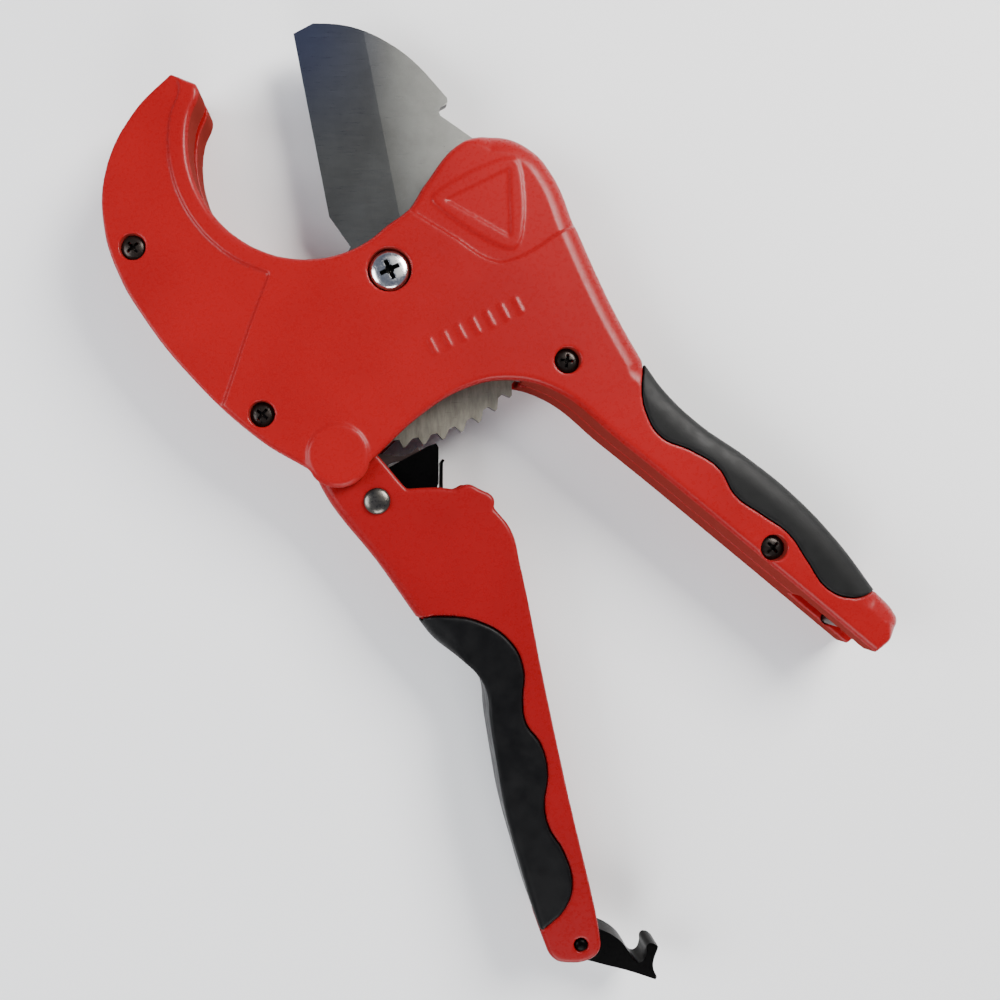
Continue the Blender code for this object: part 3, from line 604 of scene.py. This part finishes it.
def paint(name, tone, wall_shade_tone, worn_tone, wear=0.25, gloss=0.28):
    """Semi-gloss enamel on a casting: faint orange peel, uneven gloss, a little wear on the edges, and
    painted shade on the side walls.
    """
    nodes = Nodes(name)
    blotches = nodes.noise(26.0, 3.0)
    specks = nodes.noise(900.0, 3.0, 0.6)
    dark = tuple(channel * 0.86 for channel in tone[:3]) + (1.0,)
    base = nodes.mix(nodes.ramp(blotches, (0.35, 0.0), (0.7, 1.0)), tone, dark)
    sharpness = nodes.add("ShaderNodeNewGeometry").outputs["Pointiness"]
    edges = nodes.ramp(sharpness, (0.59, 0.0), (0.67, 1.0))
    patches = nodes.ramp(nodes.noise(160.0, 5.0, 0.65), (0.52, 0.0), (0.66, wear))
    worn = nodes.mix(1.0, edges, patches, "MULTIPLY")
    # Painted shade: side walls take the darker wall colour, by which way the surface faces.
    walls = nodes.mix(nodes.ramp(nodes.facing(), (0.1, 1.0), (0.5, 0.0)), base, wall_shade_tone)
    nodes.link(nodes.mix(worn, walls, worn_tone), nodes.shader.inputs["Base Color"])
    nodes.link(nodes.ramp(specks, (0.3, gloss - 0.05), (0.7, gloss + 0.08)), nodes.shader.inputs["Roughness"])
    nodes.shader.inputs["Specular IOR Level"].default_value = 0.17
    nodes.link(nodes.spread(nodes.facing(), (0.1, 1.01), (0.6, 1.5)), nodes.shader.inputs["IOR"])
    nodes.relief((nodes.noise(420.0, 2.0), 0.05, 0.14), (nodes.noise(60.0, 3.0, 0.5, lift=0.7), 0.25, 0.18))
    return nodes.material


def rubber(name, tone, gloss, shine, grain=0.4):
    """Moulded rubber with a fine grain and a little dust."""
    nodes = Nodes(name)
    dusty = tuple(min(1.0, channel * 1.7 + 0.004) for channel in tone[:3]) + (1.0,)
    dust = nodes.ramp(nodes.noise(75.0, 6.0, 0.65), (0.5, 0.0), (0.78, 0.3))
    nodes.link(nodes.mix(dust, tone, dusty), nodes.shader.inputs["Base Color"])
    nodes.link(nodes.ramp(nodes.noise(240.0, 4.0), (0.3, gloss - 0.07), (0.7, gloss + 0.1)),
               nodes.shader.inputs["Roughness"])
    nodes.shader.inputs["Specular IOR Level"].default_value = shine
    nodes.relief((nodes.noise(2600.0, 3.0, 0.6), 0.05, grain), (nodes.noise(95.0, 3.0), 0.2, 0.15))
    return nodes.material


def steel(name, tone, gloss, spots=0.2, metallic=1.0, scratch=0.3, shine=0.5, shaded_recess=None):
    """Steel with fine grain and stains; given the bottom of a recess, it paints shade around that place."""
    nodes = Nodes(name)
    dark = tuple(channel * (1.0 - spots) for channel in tone[:3]) + (1.0,)
    stains = nodes.ramp(nodes.noise(120.0, 5.0, 0.6), (0.4, 0.0), (0.72, 1.0))
    base = nodes.mix(stains, tone, dark)
    if shaded_recess:
        # Painted shade: the colour turns near black around the bottom of the recess.
        recess_shade = nodes.spread(nodes.distance(shaded_recess), (3.0 * MM, 1.0), (3.9 * MM, 0.0))
        base = nodes.mix(recess_shade, base, (0.03, 0.028, 0.025, 1.0))
    nodes.link(base, nodes.shader.inputs["Base Color"])
    nodes.shader.inputs["Metallic"].default_value = metallic
    nodes.shader.inputs["Specular IOR Level"].default_value = shine
    grain = nodes.noise(1500.0, 3.0, 0.6)
    nodes.relief((grain, 0.03, scratch))
    nodes.link(nodes.ramp(grain, (0.3, gloss - 0.05), (0.7, gloss + 0.08)), nodes.shader.inputs["Roughness"])
    return nodes.material


def blade_steel():
    """Ground plate with a painted reflection: bright at the back, darker towards the cutting edge and blue
    towards the tip; painted shade on its edges; raw and stained at the teeth.
    """
    nodes = Nodes("blade_steel")
    grain = nodes.noise(1.0, 3.0, 0.6, stretch=(160.0, 5200.0, 800.0), turn=-100.0)
    plate = nodes.mix(nodes.ramp(nodes.noise(90.0, 5.0, 0.6), (0.4, 0.0), (0.75, 1.0)),
                      colour(184, 184, 177), colour(164, 163, 156))
    # Painted reflection: the plate turns blue towards the tip, as the dim cool room reflects there.
    tip = nodes.mix(1.0, nodes.along(90.0, 30.0, 78.0), nodes.along(180.0, -4.0, 28.0), "MULTIPLY")
    plate = nodes.mix(tip, plate, (0.32, 0.36, 0.56, 1.0))
    # Painted reflection: the plate darkens towards the cutting edge, as the dim room reflects there.
    across = nodes.along(11.0, 3.0, 21.0)
    plate = nodes.mix(1.0, plate, nodes.ramp(across, (0.0, 0.49), (1.0, 0.93)), "MULTIPLY")
    streaks = nodes.noise(1.0, 4.0, 0.7, stretch=(4200.0, 260.0, 400.0), turn=-11.0)
    plate = nodes.mix(nodes.ramp(streaks, (0.3, 0.0), (0.7, 0.3)), plate, (0.9, 0.9, 0.88, 1.0), "MULTIPLY")
    stains = nodes.noise(1.0, 5.0, 0.7, stretch=(700.0, 160.0, 100.0), turn=-100.0)
    raw = nodes.mix(
        nodes.ramp(stains, (0.35, 0.0), (0.7, 1.0)), (0.22, 0.205, 0.165, 1.0), (0.115, 0.104, 0.083, 1.0),
    )
    teeth = nodes.along(-90.0, 12.0, 24.0)
    flat = nodes.mix(teeth, plate, raw)
    # Painted shade: side walls and bevels of the blade and its teeth turn near black.
    edges = nodes.ramp(nodes.facing(), (0.75, 1.0), (0.97, 0.0))
    nodes.link(nodes.mix(edges, flat, (0.022, 0.021, 0.02, 1.0)), nodes.shader.inputs["Base Color"])
    metal = nodes.mix(teeth, (1.0, 1.0, 1.0, 1.0), (0.25, 0.25, 0.25, 1.0))
    nodes.link(metal, nodes.shader.inputs["Metallic"])
    nodes.link(nodes.ramp(grain, (0.3, 0.27), (0.7, 0.32)), nodes.shader.inputs["Roughness"])
    nodes.relief((grain, 0.02, 0.05), (nodes.noise(1900.0, 3.0, 0.6), 0.02, 0.12))
    return nodes.material


# Each paint's second colour is the painted shade of its side walls.
PAINT = paint("red_paint", (0.27, 0.0066, 0.0078, 1.0), (0.17, 0.020, 0.016, 1.0), (0.12, 0.03, 0.024, 1.0))
HANDLE_PAINT = paint(
    "red_paint_handle", (0.225, 0.0056, 0.0070, 1.0), (0.14, 0.016, 0.013, 1.0), (0.12, 0.02, 0.017, 1.0),
    wear=0.2,
)
# One grip rubber in two tones, lighter on the fixed grip and darker on the moving grip: painted light and
# shade.
GRIP = rubber("grip_rubber", (0.0046, 0.0047, 0.0046, 1.0), 0.5, 0.2)
SHADED_GRIP = rubber("dark_rubber", (0.0026, 0.0026, 0.0028, 1.0), 0.42, 0.14)
BLADE = blade_steel()
# The bolt's cross recess gets painted shade at its bottom.
CHROME = steel("bright_steel", colour(236, 236, 234), 0.2, 0.08, scratch=0.04, shaded_recess=(0.0, 0.0, 21.2))
RIVET = steel("rivet_steel", colour(104, 100, 94), 0.3, 0.35, scratch=0.2)
DARK_STEEL = steel("dark_steel", colour(110, 104, 100), 0.38, 0.35)
SPRING_STEEL = steel("spring_steel", colour(168, 166, 162), 0.25, 0.25, scratch=0.1)
BLACK_STEEL = steel(
    "black_steel", (0.0010, 0.0009, 0.0009, 1.0), 0.32, 0.4, metallic=0.0, scratch=0.2, shine=0.05,
)
SCREW_STEEL = steel("screw_steel", (0.030, 0.022, 0.018, 1.0), 0.3, 0.75, metallic=0.7, scratch=0.35)
PAWL_STEEL = steel("pawl_steel", colour(62, 48, 46), 0.4, 0.45, metallic=0.6)

# ---------------------------------------------------------------- pieces

# Rims: width, depth, and how much of the depth is a plain slope
RIM = 1.8
WIDE_RIM = (5.5, 4.5, 0.35)
GRIP_RIM = (7.0, 3.4, 0.0)
MOVING_GRIP_RIM = (6.0, 5.0, 0.0)
HANDLE_PALM_RIM = (3.2, 2.4, 0.0)
GRIP_EDGE = 0.5


def even_rim(height, width):
    return lambda x, y: (height, width, width, 0.0)


def blend(first, second, share):
    share = min(1.0, max(0.0, share))
    return tuple(a + (b - a) * share for a, b in zip(first, second))


def palm_share(x, y):
    """0 on the finger side of the fixed handle, 1 on its palm side and along the ear's outer side."""
    across = y + 38.0 + 0.94 * (x - 70.0)
    on_handle = min(1.0, max(0.0, across / 6.0))
    on_ear = min(1.0, max(0.0, (x + 0.45 * y - 38.0) / 8.0))
    return on_handle if y < -28.0 else on_ear


def shell_rim(height, side):
    """A round rim, wider along the ear's outer side and the palm side, and none at the boss."""
    def rim_at(x, y):
        if math.dist((x, y), HANDLE_PIVOT) < BOSS_RADIUS + 0.3:
            return (height, 0.0, 0.0, 0.0)
        in_ear = y > max(16.6 - 0.6 * (x - 5.4), 2.3 + 0.556 * (x - 33.5))
        base = height - side * FIELD_DEPTH if in_ear else height
        return (base, *blend((RIM, RIM, 0.0), WIDE_RIM, palm_share(x, y)))
    return rim_at


def grip_rim(height):
    return lambda x, y: (height, *blend((1.6, 1.6, 0.0), GRIP_RIM, palm_share(x, y)))


def handle_rim(height, palm=HANDLE_PALM_RIM):
    """The moving handle's left edge, in the palm, is rounded wider than its right edge."""
    def rim_at(x, y):
        left = (-y - 60.0) * 0.68 - 12.0 if y > -97.0 else 13.0 + (-y - 97.0) * 0.28
        return (height, *blend(palm, (1.1, 1.1, 0.0), (x - left) / 5.0))
    return rim_at


def shell_cutters():
    """Everything that both shells leave open, cut through them at the same places."""
    swing = [(0.0, 0.0), *arc((0.0, 0.0), BLADE_SWING_RADIUS, 24, 172, 49)]
    return [
        rod("blade_room", (0.0, 0.0), TOOTH_ROOM_RADIUS, SLOT_LOW, SLOT_HIGH, sides=120),
        slab("blade_slot", [(*point, CORNER) for point in swing], SLOT_LOW, SLOT_HIGH),
        slab("mechanism_room", MECHANISM_ROOM, FACE, THICKNESS - FACE),
        slab("fixed_handle_room", FIXED_HANDLE_ROOM, *LATCH_FACES),
        slab("latch_slot", [
            *arc(CLOSED_LATCH_PIVOT, 26.5, 190, 66, 9), (137.5, -94.6, CORNER), (155.0, -94.6, CORNER),
            (155.0, -130.0, CORNER), (100.0, -130.0, CORNER),
        ], 7.9, 17.1),
        rod("pivot_hole", (0.0, 0.0), BLADE_HOLE_RADIUS, -1.0, THICKNESS + 1.0),
        rod("handle_pin_hole", HANDLE_PIVOT, PIVOT_HOLE_RADIUS, 1.5, THICKNESS - 1.5),
        rod("catch_pin_hole", CATCH_PIN, PIN_HOLE_RADIUS, 5.0, THICKNESS - 5.0, sides=32),
        slab("grip_seat_front", FIXED_GRIP, FIXED_CORE[1], THICKNESS + 5.0, grow=GAP),
        slab("grip_seat_back", FIXED_GRIP, -5.0, FIXED_CORE[0], grow=GAP),
    ]


def make_front_shell():
    shell = slab("front_shell_fine", BODY, SEAM + SEAM_GAP / 2, THICKNESS)
    combine(shell, [
        slab("hook_field", HOOK_FIELD, THICKNESS - FIELD_DEPTH, THICKNESS + 3.0),
        slab("ear_field", EAR_FIELD, THICKNESS - FIELD_DEPTH, THICKNESS + 3.0),
    ])
    boss = turned("round_boss", HANDLE_PIVOT, [
        (0.0, THICKNESS + BOSS_RISE), (BOSS_RADIUS - 1.6, THICKNESS + BOSS_RISE),
        (BOSS_RADIUS - 0.8, THICKNESS + BOSS_RISE - 0.3), (BOSS_RADIUS - 0.3, THICKNESS - 0.3),
        (BOSS_RADIUS - 0.3, THICKNESS - 2.5), (0.0, THICKNESS - 2.5),
    ])
    combine(shell, [boss], "UNION")
    combine(shell, shell_cutters())
    seats = [rod("bolt_seat", (0.0, 0.0), 6.2, THICKNESS - FACE, THICKNESS + 1.0)]
    seats.append(rod("washer_seat", (0.0, 0.0), WASHER_SEAT_RADIUS, SLOT_HIGH - 0.2, 15.5))
    seat_floor = THICKNESS - FACE
    for number, centre in enumerate(SCREWS, 1):
        seats.append(rod(f"screw_seat_{number}", centre, SCREW_SEAT_RADIUS, seat_floor, THICKNESS + 1.0))
        seats.append(rod(f"screw_hole_{number}", centre, SCREW_HOLE_RADIUS, SEAM - 1.0, THICKNESS, sides=24))
    combine(shell, seats)
    ribs = []
    for number in range(7):
        centre = (12.0 + 4.0 * number, -21.6 + 1.9 * number, THICKNESS)
        ribs.append(bar(f"face_rib_{number}", centre, (1.0, 4.6, 0.7), 27))
    triangle = slab("ear_triangle", EAR_TRIANGLE, THICKNESS - 1.2, THICKNESS - FIELD_DEPTH + 0.5)
    combine(triangle, [slab("ear_triangle_inside", EAR_TRIANGLE_INSIDE, THICKNESS - 3.0, THICKNESS + 1.0)])
    combine(shell, [*ribs, triangle], "UNION")
    soften(shell, [(outline_tree(BODY, FIXED_GRIP), 1, shell_rim(THICKNESS, 1))])
    finish_piece(shell, "front_shell", "body", PAINT)


def make_rear_shell():
    shell = slab("rear_shell_fine", BODY, 0.0, SEAM - SEAM_GAP / 2)
    combine(shell, [
        slab("hook_field", HOOK_FIELD, -3.0, FIELD_DEPTH), slab("ear_field", EAR_FIELD, -3.0, FIELD_DEPTH),
    ])
    combine(shell, shell_cutters())
    leg_room = [(0.0, 0.0), *arc((0.0, 0.0), LEG_ROOM_RADIUS, *LEG_ROOM_ANGLES, 25)]
    rooms = (
        rod("spring_room", (0.0, 0.0), SPRING_ROOM_RADIUS, SPRING_ROOM_FLOOR, SLOT_LOW + 0.2),
        slab("spring_leg_room", [(*point, CORNER) for point in leg_room], SPRING_ROOM_FLOOR, SLOT_LOW + 0.2),
    )
    for room in rooms:
        combine(room, [rod("spring_boss", (0.0, 0.0), SPRING_BOSS_RADIUS, 0.0, 15.0)])
    seats = [
        *rooms, rod("washer_seat", (0.0, 0.0), WASHER_SEAT_RADIUS, 9.5, SLOT_LOW + 0.2),
        rod("nut_seat", (0.0, 0.0), 7.3, -1.0, 5.3, sides=6),
    ]
    for number, centre in enumerate(SCREWS, 1):
        seats.append(rod(f"screw_bore_{number}", centre, SCREW_HOLE_RADIUS, FACE, SEAM + 1.0, sides=24))
    combine(shell, seats)
    soften(shell, [(outline_tree(BODY, FIXED_GRIP), -1, shell_rim(0.0, -1))])
    finish_piece(shell, "rear_shell", "body", PAINT)


def make_grips():
    low, high = FIXED_GRIP_FACES
    grip = slab("fixed_handle_grip_fine", FIXED_GRIP, low, high)
    combine(grip, [slab("fixed_grip_core", BODY, *FIXED_CORE, grow=GAP)])
    outside, whole = outline_tree(FIXED_GRIP, BODY), outline_tree(FIXED_GRIP)
    soften(grip, [
        (outside, -1, grip_rim(low)), (outside, 1, grip_rim(high)),
        (whole, -1, even_rim(low, GRIP_EDGE)), (whole, 1, even_rim(high, GRIP_EDGE)),
    ])
    finish_piece(grip, "fixed_handle_grip", "body", GRIP)
    low, high = MOVING_GRIP_FACES
    grip = slab("moving_handle_grip_fine", MOVING_GRIP, low, high)
    combine(grip, [slab("moving_grip_core", MOVING_HANDLE, *MOVING_CORE, grow=GAP)])
    outside, whole = outline_tree(MOVING_GRIP, MOVING_HANDLE), outline_tree(MOVING_GRIP)
    soften(grip, [
        (outside, -1, handle_rim(low, MOVING_GRIP_RIM)), (outside, 1, handle_rim(high, MOVING_GRIP_RIM)),
        (whole, -1, even_rim(low, GRIP_EDGE)), (whole, 1, even_rim(high, GRIP_EDGE)),
    ])
    finish_piece(grip, "moving_handle_grip", "moving_handle", SHADED_GRIP)


def make_moving_handle():
    handle = slab("moving_handle_fine", MOVING_HANDLE, HANDLE_LOW, HANDLE_HIGH)
    combine(handle, [
        slab("moving_grip_seat_front", MOVING_GRIP, MOVING_CORE[1], 30.0, grow=GAP),
        slab("moving_grip_seat_back", MOVING_GRIP, -5.0, MOVING_CORE[0], grow=GAP),
        slab("upper_channel", UPPER_CHANNEL, *UPPER_CHANNEL_FACES),
        slab("lower_channel", LOWER_CHANNEL, *LOWER_CHANNEL_FACES),
        rod("frame_pivot_hole", HANDLE_PIVOT, PIVOT_HOLE_RADIUS, 0.0, THICKNESS),
        rod("frame_feed_hole", FEED_PIVOT, PIN_HOLE_RADIUS, 0.0, THICKNESS),
        rod("frame_latch_hole", LATCH_PIVOT, LATCH_HOLE_RADIUS, 0.0, THICKNESS),
    ])
    outside = outline_tree(MOVING_HANDLE, MOVING_GRIP)
    rims = [(outside, -1, handle_rim(HANDLE_LOW)), (outside, 1, handle_rim(HANDLE_HIGH))]
    soften(handle, rims)
    finish_piece(handle, "moving_handle_frame", "moving_handle", HANDLE_PAINT)


def make_blade():
    blade = slab("blade_fine", blade_outline(), BLADE_LOW, BLADE_HIGH)
    direction = math.degrees(math.atan2(EDGE_TIP[1] - EDGE_HEEL[1], EDGE_TIP[0] - EDGE_HEEL[0]))
    middle = ((EDGE_TIP[0] + EDGE_HEEL[0]) / 2, (EDGE_TIP[1] + EDGE_HEEL[1]) / 2)
    slope = math.degrees(math.atan2((BLADE_HIGH - BLADE_LOW - EDGE_THICKNESS) / 2, GRIND_WIDTH))
    grinders = [rod("blade_hole", (0.0, 0.0), BLADE_HOLE_RADIUS, BLADE_LOW - 1.0, BLADE_HIGH + 1.0)]
    size = (GRIND_LENGTH, 2 * GRIND_WIDTH, GRIND_DEPTH)
    for name, side in (("front_grind", 1.0), ("back_grind", -1.0)):
        height = SEAM + side * (EDGE_THICKNESS / 2 + GRIND_DEPTH / 2 * math.cos(math.radians(slope)))
        grinders.append(bar(name, (*middle, height), size, direction, -side * slope))
    combine(blade, grinders)
    crisp(blade, 0.25)
    finish_piece(blade, "blade", "blade", BLADE)


def cross_recess(name, centre, size, low, high, turn=25.0):
    """Cutters of a cross recess: two bars, and a small cone between them."""
    middle = (low + high) / 2
    long_side, short_side = size, size * 0.22
    return [
        bar(name + "_a", (*centre, middle), (long_side, short_side, high - low), turn),
        bar(name + "_b", (*centre, middle), (short_side, long_side, high - low), turn),
        turned(name + "_cone", centre, [
            (0.0, high), (size * 0.26, high), (size * 0.14, low + 0.25), (0.0, low - 0.5),
        ], 24),
    ]


def make_pivot():
    bolt = turned("blade_pivot_bolt_fine", (0.0, 0.0), [
        (0.0, 24.9), (1.4, 24.88), (2.7, 24.8), (3.8, 24.64), (4.7, 24.36), (5.3, 23.95), (5.65, 23.4),
        (5.7, 22.8), (5.7, 22.3), (3.9, 22.3), (3.9, 0.8), (0.0, 0.8),
    ], 96)
    combine(bolt, cross_recess("bolt_cross", (0.0, 0.0), 5.8, 21.2, 26.0))
    crisp(bolt, 0.12, 3)
    finish_piece(bolt, "blade_pivot_bolt", "body", CHROME)
    pin = turned("feed_pawl_pin_fine", FEED_PIVOT, [
        (0.0, 23.2), (1.3, 23.16), (2.3, 23.0), (3.1, 22.75), (3.6, 22.4), (3.8, 22.0), (1.6, 22.0),
        (1.6, 3.0), (3.8, 3.0), (3.6, 2.5), (2.6, 2.1), (0.0, 1.9),
    ], 64)
    crisp(pin, 0.1)
    finish_piece(pin, "feed_pawl_pin", "moving_handle", RIVET)
    pin = turned("latch_pin_fine", LATCH_PIVOT, [
        (0.0, 22.1), (0.8, 22.06), (1.3, 21.9), (1.6, 21.6), (1.7, 21.3), (1.7, 3.7), (1.3, 3.1), (0.0, 2.9),
    ], 48)
    crisp(pin, 0.08)
    finish_piece(pin, "latch_pin", "moving_handle", BLACK_STEEL)


def make_screws():
    turns = random.Random(11)
    for number, centre in enumerate(SCREWS, 1):
        screw = turned(f"shell_screw_{number}_fine", centre, [
            (0.0, 23.7), (0.9, 23.67), (1.8, 23.55), (2.5, 23.35), (3.1, 23.05), (3.45, 22.7), (3.5, 22.3),
            (1.5, 22.3), (1.5, 3.6), (0.0, 3.6),
        ], 64)
        cross = cross_recess(f"screw_cross_{number}", centre, 3.8, 21.9, 25.0, turns.uniform(0.0, 90.0))
        combine(screw, cross)
        crisp(screw, 0.08)
        finish_piece(screw, f"shell_screw_{number}", "body", SCREW_STEEL)


def make_pawls():
    pawl = slab("feed_pawl_fine", FEED_PAWL, *FEED_PAWL_FACES)
    gap = slab("feed_pawl_gap", FEED_PAWL_GAP, *FEED_GAP_FACES)
    combine(pawl, [gap, rod("feed_eye", FEED_PIVOT, PIN_HOLE_RADIUS, 5.0, 20.0)])
    crisp(pawl, 0.35, 3)
    finish_piece(pawl, "feed_pawl", "feed_pawl", BLACK_STEEL)
    leaf = slab("feed_pawl_leaf_fine", FEED_LEAF, *FEED_GAP_FACES)
    crisp(leaf, 0.1)
    finish_piece(leaf, "feed_pawl_leaf", "feed_pawl", BLACK_STEEL)
    pawl = slab("hold_pawl_fine", HOLD_PAWL, *HOLD_PAWL_FACES)
    combine(pawl, [rod("hold_eye", HANDLE_PIVOT, PIVOT_HOLE_RADIUS, 10.0, 15.0)])
    crisp(pawl, 0.25, 3)
    finish_piece(pawl, "hold_pawl", "hold_pawl", PAWL_STEEL)
    latch = slab("latch_fine", LATCH, *LATCH_FACES)
    combine(latch, [rod("latch_eye", LATCH_PIVOT, LATCH_HOLE_RADIUS, 5.0, 20.0)])
    crisp(latch, 0.5, 4)
    finish_piece(latch, "latch", "latch", BLACK_STEEL)


def dress_cad_nodes():
    """Small pieces keep their CAD shape and get their own finish."""
    finishes = {
        "blade_pivot_nut": DARK_STEEL, "blade_washer_front": DARK_STEEL, "blade_washer_rear": DARK_STEEL,
        "blade_spring_post": DARK_STEEL, "handle_pivot_pin": DARK_STEEL, "handle_spacer_front": DARK_STEEL,
        "handle_spacer_rear": DARK_STEEL, "latch_catch_pin": DARK_STEEL, "hold_pawl_spring": SPRING_STEEL,
        "feed_pawl_spring": SPRING_STEEL, "blade_return_spring": SPRING_STEEL,
    }
    for name, material in finishes.items():
        for held in frame["nodes"][name].material_slots:
            held.material = material


# Fineness of the cast and moulded pieces
VOXEL = 0.36
KEEP = 0.4

make_front_shell()
make_rear_shell()
make_grips()
make_moving_handle()
make_blade()
make_pivot()
make_screws()
make_pawls()
dress_cad_nodes()

# ---------------------------------------------------------------- stage, light and camera

def make_floor():
    """A pale floor; far away it takes on the wall's brightness, so that no dark band shows."""
    mesh = bpy.data.meshes.new("floor")
    side = 4.0
    corners = [(-side, -side, 0), (side, -side, 0), (side, side, 0), (-side, side, 0)]
    mesh.from_pydata(corners, [], [(0, 1, 2, 3)])
    floor = new_object("floor", mesh)
    nodes = Nodes("floor_card")
    nodes.shader.inputs["Base Color"].default_value = colour(246, 246, 246)
    nodes.shader.inputs["Roughness"].default_value = 0.9
    nodes.shader.inputs["Specular IOR Level"].default_value = 0.1
    far = nodes.spread(nodes.distance((0.0, 0.0, 0.0)), (0.6, 0.0), (2.0, 0.48))
    nodes.link(far, nodes.shader.inputs["Emission Strength"])
    mesh.materials.append(nodes.material)
    floor.location.z = -0.0002


def area_light(name, place, target, size, power, tint=(1.0, 1.0, 1.0), roll=0.0):
    """A soft box at a place, aimed at a target; places are millimetres from the blade pivot."""
    light = bpy.data.lights.new(name, "AREA")
    light.shape = "RECTANGLE"
    light.size, light.size_y = size[0] * MM, size[1] * MM
    light.energy = power
    light.color = tint
    lamp = bpy.data.objects.new(name, light)
    bpy.context.scene.collection.objects.link(lamp)
    start = world_point(*place)
    aim = (world_point(*target) - start).to_track_quat("-Z", "Y").to_matrix().to_4x4()
    lamp.matrix_world = Matrix.Translation(start) @ aim @ Matrix.Rotation(math.radians(roll), 4, "Z")
    return lamp


def make_world():
    """A dim cool room above, and a pale wall all round at the height of the floor."""
    world = bpy.data.worlds.new("studio")
    world.use_nodes = True
    tree = world.node_tree
    split = tree.nodes.new("ShaderNodeSeparateXYZ")
    tree.links.new(tree.nodes.new("ShaderNodeTexCoord").outputs["Generated"], split.inputs[0])
    ramp = tree.nodes.new("ShaderNodeValToRGB")
    wall, room = ramp.color_ramp.elements
    wall.position, wall.color = 0.16, (0.55, 0.56, 0.58, 1.0)
    room.position, room.color = 0.5, (0.10, 0.115, 0.165, 1.0)
    tree.links.new(split.outputs["Z"], ramp.inputs["Fac"])
    tree.links.new(ramp.outputs["Color"], tree.nodes["Background"].inputs["Color"])
    bpy.context.scene.world = world


def make_camera():
    camera = bpy.data.cameras.new("camera")
    camera.lens = CAMERA_LENS
    camera.sensor_width = 36.0
    camera.shift_x, camera.shift_y = CAMERA_SHIFT
    camera.clip_start = 0.01
    holder = bpy.data.objects.new("camera", camera)
    bpy.context.scene.collection.objects.link(holder)
    holder.location = world_point(*CAMERA_FROM_PIVOT, THICKNESS + CAMERA_ABOVE_FACE)
    bpy.context.scene.camera = holder


make_floor()
make_world()
area_light("key", (520.0, 400.0, 560.0), (20.0, -60.0, 0.0), (420.0, 420.0), 14.0, (1.0, 0.98, 0.95))
area_light("fill", (-620.0, -100.0, 480.0), (20.0, -60.0, 0.0), (500.0, 500.0), 7.0, (0.95, 0.97, 1.0))
area_light("low", (100.0, -760.0, 460.0), (20.0, -60.0, 0.0), (500.0, 400.0), 5.0)
area_light("card", (330.0, 350.0, 760.0), (330.0, 350.0, 0.0), (600.0, 600.0), 0.85, (1.0, 0.98, 0.93), 15.0)
make_camera()
